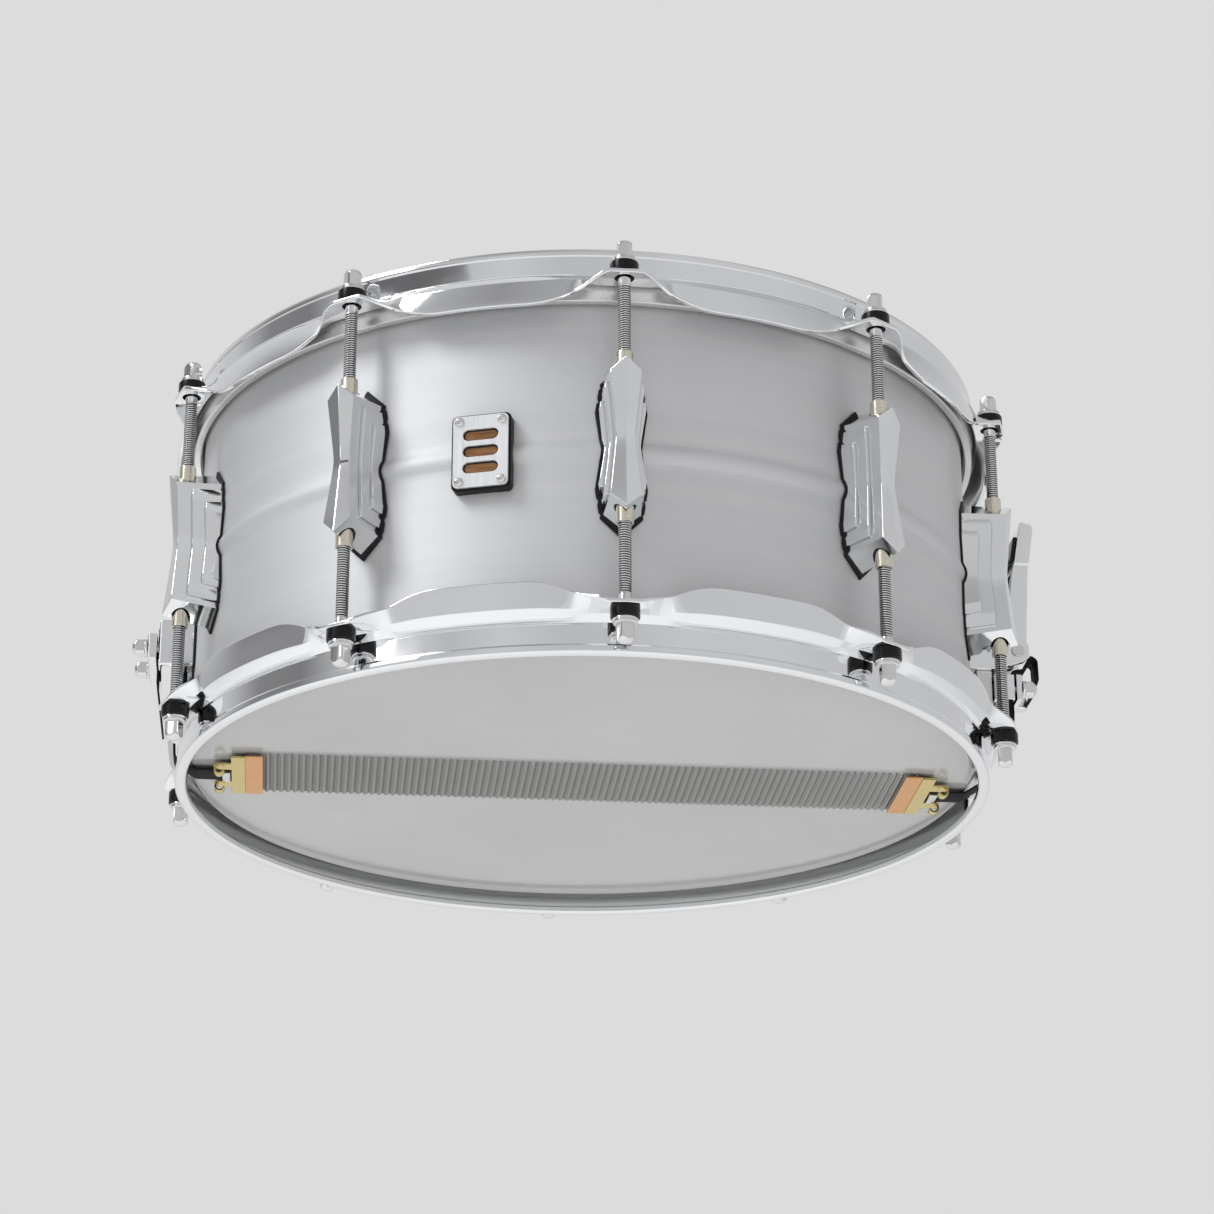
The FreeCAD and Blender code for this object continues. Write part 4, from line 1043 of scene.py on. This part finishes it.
# ---------------------------------------------------------------- everything
make_shell()
make_head("batter_film", UP, COATED, "coated_film", "batter_head_film")
make_head("snare_film", DOWN, CLEAR, "clear_film", "snare_head_film")
make_flesh_hoop("batter_flesh_band", UP, "batter_flesh_hoop")
make_flesh_hoop("snare_flesh_band", DOWN, "snare_flesh_hoop")
make_hoop("batter_triple_flange_hoop", UP, False, "batter_hoop")
make_hoop("snare_triple_flange_hoop", DOWN, True, "snare_hoop")
make_lugs()
make_rods()
make_badge_screws()
make_snare_wires()
make_straps()
for end, side in (("strainer", 1.0), ("butt", -1.0)):
    make_clip_hooks(f"{end}_clip_hooks", side, f"{end}_end_clip")
    make_strap_grip(f"{end}_strap_grip", side, f"{end}_end_clip")

for node, surface, edge in (
    ("lug_gaskets", GASKET, 0.15), ("lug_screws", STEEL, 0.2),
    ("swivel_nuts", NICKEL, 0.3), ("rod_washers", NYLON, 0.45), ("badge_base", WALNUT, 0.3),
    ("badge_plate", BADGE, 0.15), ("air_vent", CHROME, 0.3),
    ("strainer_gasket", GASKET, 0.2), ("strainer_housing", CHROME, 0.5),
    ("strainer_screws", STEEL, 0.2), ("lever_pin", STEEL, 0.3),
    ("throw_lever", CHROME, 0.6), ("lever_pad", NYLON, 0.4), ("slide_block", STEEL, 0.3),
    ("adjuster_screw", STEEL, 0.2), ("adjuster_knob", CHROME, 0.3),
    ("strap_clamp_block", CHROME, 0.5), ("strap_clamp_plate", CHROME, 0.3),
    ("strap_clamp_screws", KEY_STEEL, 0.25), ("butt_gasket", GASKET, 0.2),
    ("butt_block", CHROME, 0.3), ("butt_clamp_plate", CHROME, 0.3),
    ("butt_clamp_screws", KEY_STEEL, 0.25), ("butt_fixing_screws", STEEL, 0.2),
    ("strainer_end_plate", COPPER, 0.2), ("butt_end_plate", COPPER, 0.2),
    ("strainer_end_clip", BRASS, 0.3), ("butt_end_clip", BRASS, 0.3),
):
    dress(node, surface, edge)


# ---------------------------------------------------------------- stage, light and camera
def flat_sheet(name, outline):
    """A flat piece of the stage, from (x, y) corners in metres."""
    mesh = bpy.data.meshes.new(name)
    mesh.from_pydata([(x, y, 0.0) for x, y in outline], [], [tuple(range(len(outline)))])
    sheet = bpy.data.objects.new(name, mesh)
    bpy.context.scene.collection.objects.link(sheet)
    return sheet


def aim(piece, centre, axis):
    """Puts a card or lamp at a spot and turns its axis towards the drum."""
    piece.location = centre
    piece.rotation_euler = (MID - Vector(centre)).to_track_quat(axis, "Y").to_euler()


def pale_floor():
    """It lies far below, because the view looks up at the drum."""
    half = 30.0
    floor = flat_sheet("floor", [(-half, -half), (half, -half), (half, half), (-half, half)])
    floor.location = (0.0, 0.0, -0.75)
    surface = Surface("pale_floor", (0.80, 0.80, 0.80), 0.0, 0.7,
                      Emission_Color=(1.0, 1.0, 1.0, 1.0), Emission_Strength=0.2)
    floor.data.materials.append(surface.material)


def card(name, centre, width, height, shade_value, taper=0.0):
    """A card that only shows in reflections; one end of it may taper to a point."""
    w, h = width / 2.0, height / 2.0
    inner = taper * width - w
    tip = [(-w, 0.0)] if taper else []
    piece = flat_sheet(name, tip + [(inner, -h), (w, -h), (w, h), (inner, h)])
    aim(piece, centre, "Z")
    paint = bpy.data.materials.new(name)
    tree = Nodes(paint)
    tree.nodes.clear()
    glow = tree.node("ShaderNodeEmission")
    glow.inputs["Color"].default_value = (shade_value, shade_value, shade_value * 1.02, 1.0)
    out = tree.node("ShaderNodeOutputMaterial")
    tree.links.new(glow.outputs["Emission"], out.inputs["Surface"])
    piece.data.materials.append(paint)
    piece.visible_camera = False
    piece.visible_diffuse = False
    piece.visible_shadow = False
    piece.visible_transmission = False


def reach_out(azimuth, elevation, distance):
    """A spot at a compass angle from -Y towards +X, a height angle and a level distance."""
    turn = math.radians(azimuth)
    rise = distance * math.tan(math.radians(elevation))
    return MID + Vector((distance * math.sin(turn), -distance * math.cos(turn), rise))


def soft_light(name, centre, width, height, power, colour=(1.0, 1.0, 1.0), mirrored=False):
    light = bpy.data.lights.new(name, "AREA")
    light.shape = "RECTANGLE"
    light.size = width
    light.size_y = height
    light.energy = power
    light.color = colour
    lamp = bpy.data.objects.new(name, light)
    bpy.context.scene.collection.objects.link(lamp)
    lamp.visible_glossy = mirrored
    aim(lamp, centre, "-Z")


# The chrome gets its bands from three rings of screens: level with the drum, as high as its walls
# mirror from below, and overhead. Each is a list of (azimuth in degrees, brightness).
BACKDROP = 0.715
HORIZON_SCREENS = [
    (-180, BACKDROP), (-150, BACKDROP), (-125, 0.50), (-108, 0.30), (-85, 0.28), (-60, 0.62),
    (-30, 0.66), (-12, 0.58), (10, 0.60), (50, 0.62), (80, 0.60), (103, 0.62), (130, 0.62),
    (158, BACKDROP), (180, BACKDROP),
]
WALL_SCREENS = [
    (-180, BACKDROP), (-150, BACKDROP), (-125, 0.60), (-107, 0.25), (-90, 0.22), (-75, 0.50),
    (-60, 0.75), (-43, 0.55), (-27, 0.66), (-11, 0.57), (8, 0.58), (21, 0.64), (53, 0.64),
    (70, 0.60), (93, 0.62), (120, 0.60), (140, 0.64), (158, BACKDROP), (180, BACKDROP),
]
CEILING_SCREENS = [
    (-180, BACKDROP), (-150, 0.75), (-110, 0.70), (-80, 0.62), (-50, 0.45), (-31, 0.33),
    (-10, 0.45), (20, 0.60), (41, 0.62), (90, 0.42), (130, 0.48), (158, BACKDROP), (180, BACKDROP),
]


def screen_stops(screens):
    """A ring of screens as ramp stops over one full turn."""
    return [(0.5 + azimuth / 360.0, (value, value, value * 1.01)) for azimuth, value in screens]


def pale_world():
    """A pale room behind the drum, with brighter and darker screens round the rest of it."""
    world = bpy.data.worlds.new("studio")
    bpy.context.scene.world = world
    tree = Nodes(world)
    split = tree.split(tree.where("Generated"))
    azimuth = tree.math("ARCTAN2", split["X"], tree.math("MULTIPLY", split["Y"], -1.0))
    share = tree.spread(azimuth, 0.0, 1.0, -math.pi, math.pi)
    colour = tree.ramp(share, screen_stops(HORIZON_SCREENS))
    for screens, low, high in ((WALL_SCREENS, 0.20, 0.32), (CEILING_SCREENS, 0.46, 0.64)):
        rise = tree.spread(split["Z"], 0.0, 1.0, low, high)
        rise.node.interpolation_type = "SMOOTHSTEP"
        colour = tree.mix(rise, colour, tree.ramp(share, screen_stops(screens)))
    tree.links.new(colour, tree.nodes["Background"].inputs["Color"])


def add_camera():
    """From below and in front, a little left of the front lug."""
    spot = place(-123.6, -1389.1, -563.0)
    data = bpy.data.cameras.new("camera")
    data.sensor_width = 36.0
    data.lens = 96.03
    data.clip_start = 0.05
    data.clip_end = 100.0
    camera = bpy.data.objects.new("camera", data)
    bpy.context.scene.collection.objects.link(camera)
    right = Vector((0.9953, -0.0965, -0.0003))
    up = Vector((-0.0360, -0.3741, 0.9267))
    back = right.cross(up)
    turn = Matrix((right, up, back)).transposed().to_4x4()
    camera.matrix_world = Matrix.Translation(spot) @ turn
    bpy.context.scene.camera = camera


pale_floor()
pale_world()
soft_light("overhead", (0.0, -0.2, 2.4), 2.4, 2.4, 26.0)
soft_light("key_left", (-2.35, -1.1, 2.3), 1.1, 1.3, 47.0, (0.94, 0.97, 1.0), mirrored=True)
card("window_low", reach_out(-56.0, 17.6, 2.6), 0.62, 0.30, 2.2)
card("shade_high", reach_out(-52.0, 25.6, 2.6), 1.55, 0.19, 0.13, taper=0.55)
soft_light("fill_low", (0.6, -1.8, -0.6), 1.6, 0.6, 5.0)
add_camera()
bpy.context.scene.view_settings.view_transform = "Standard"
bpy.context.scene.view_settings.look = "None"
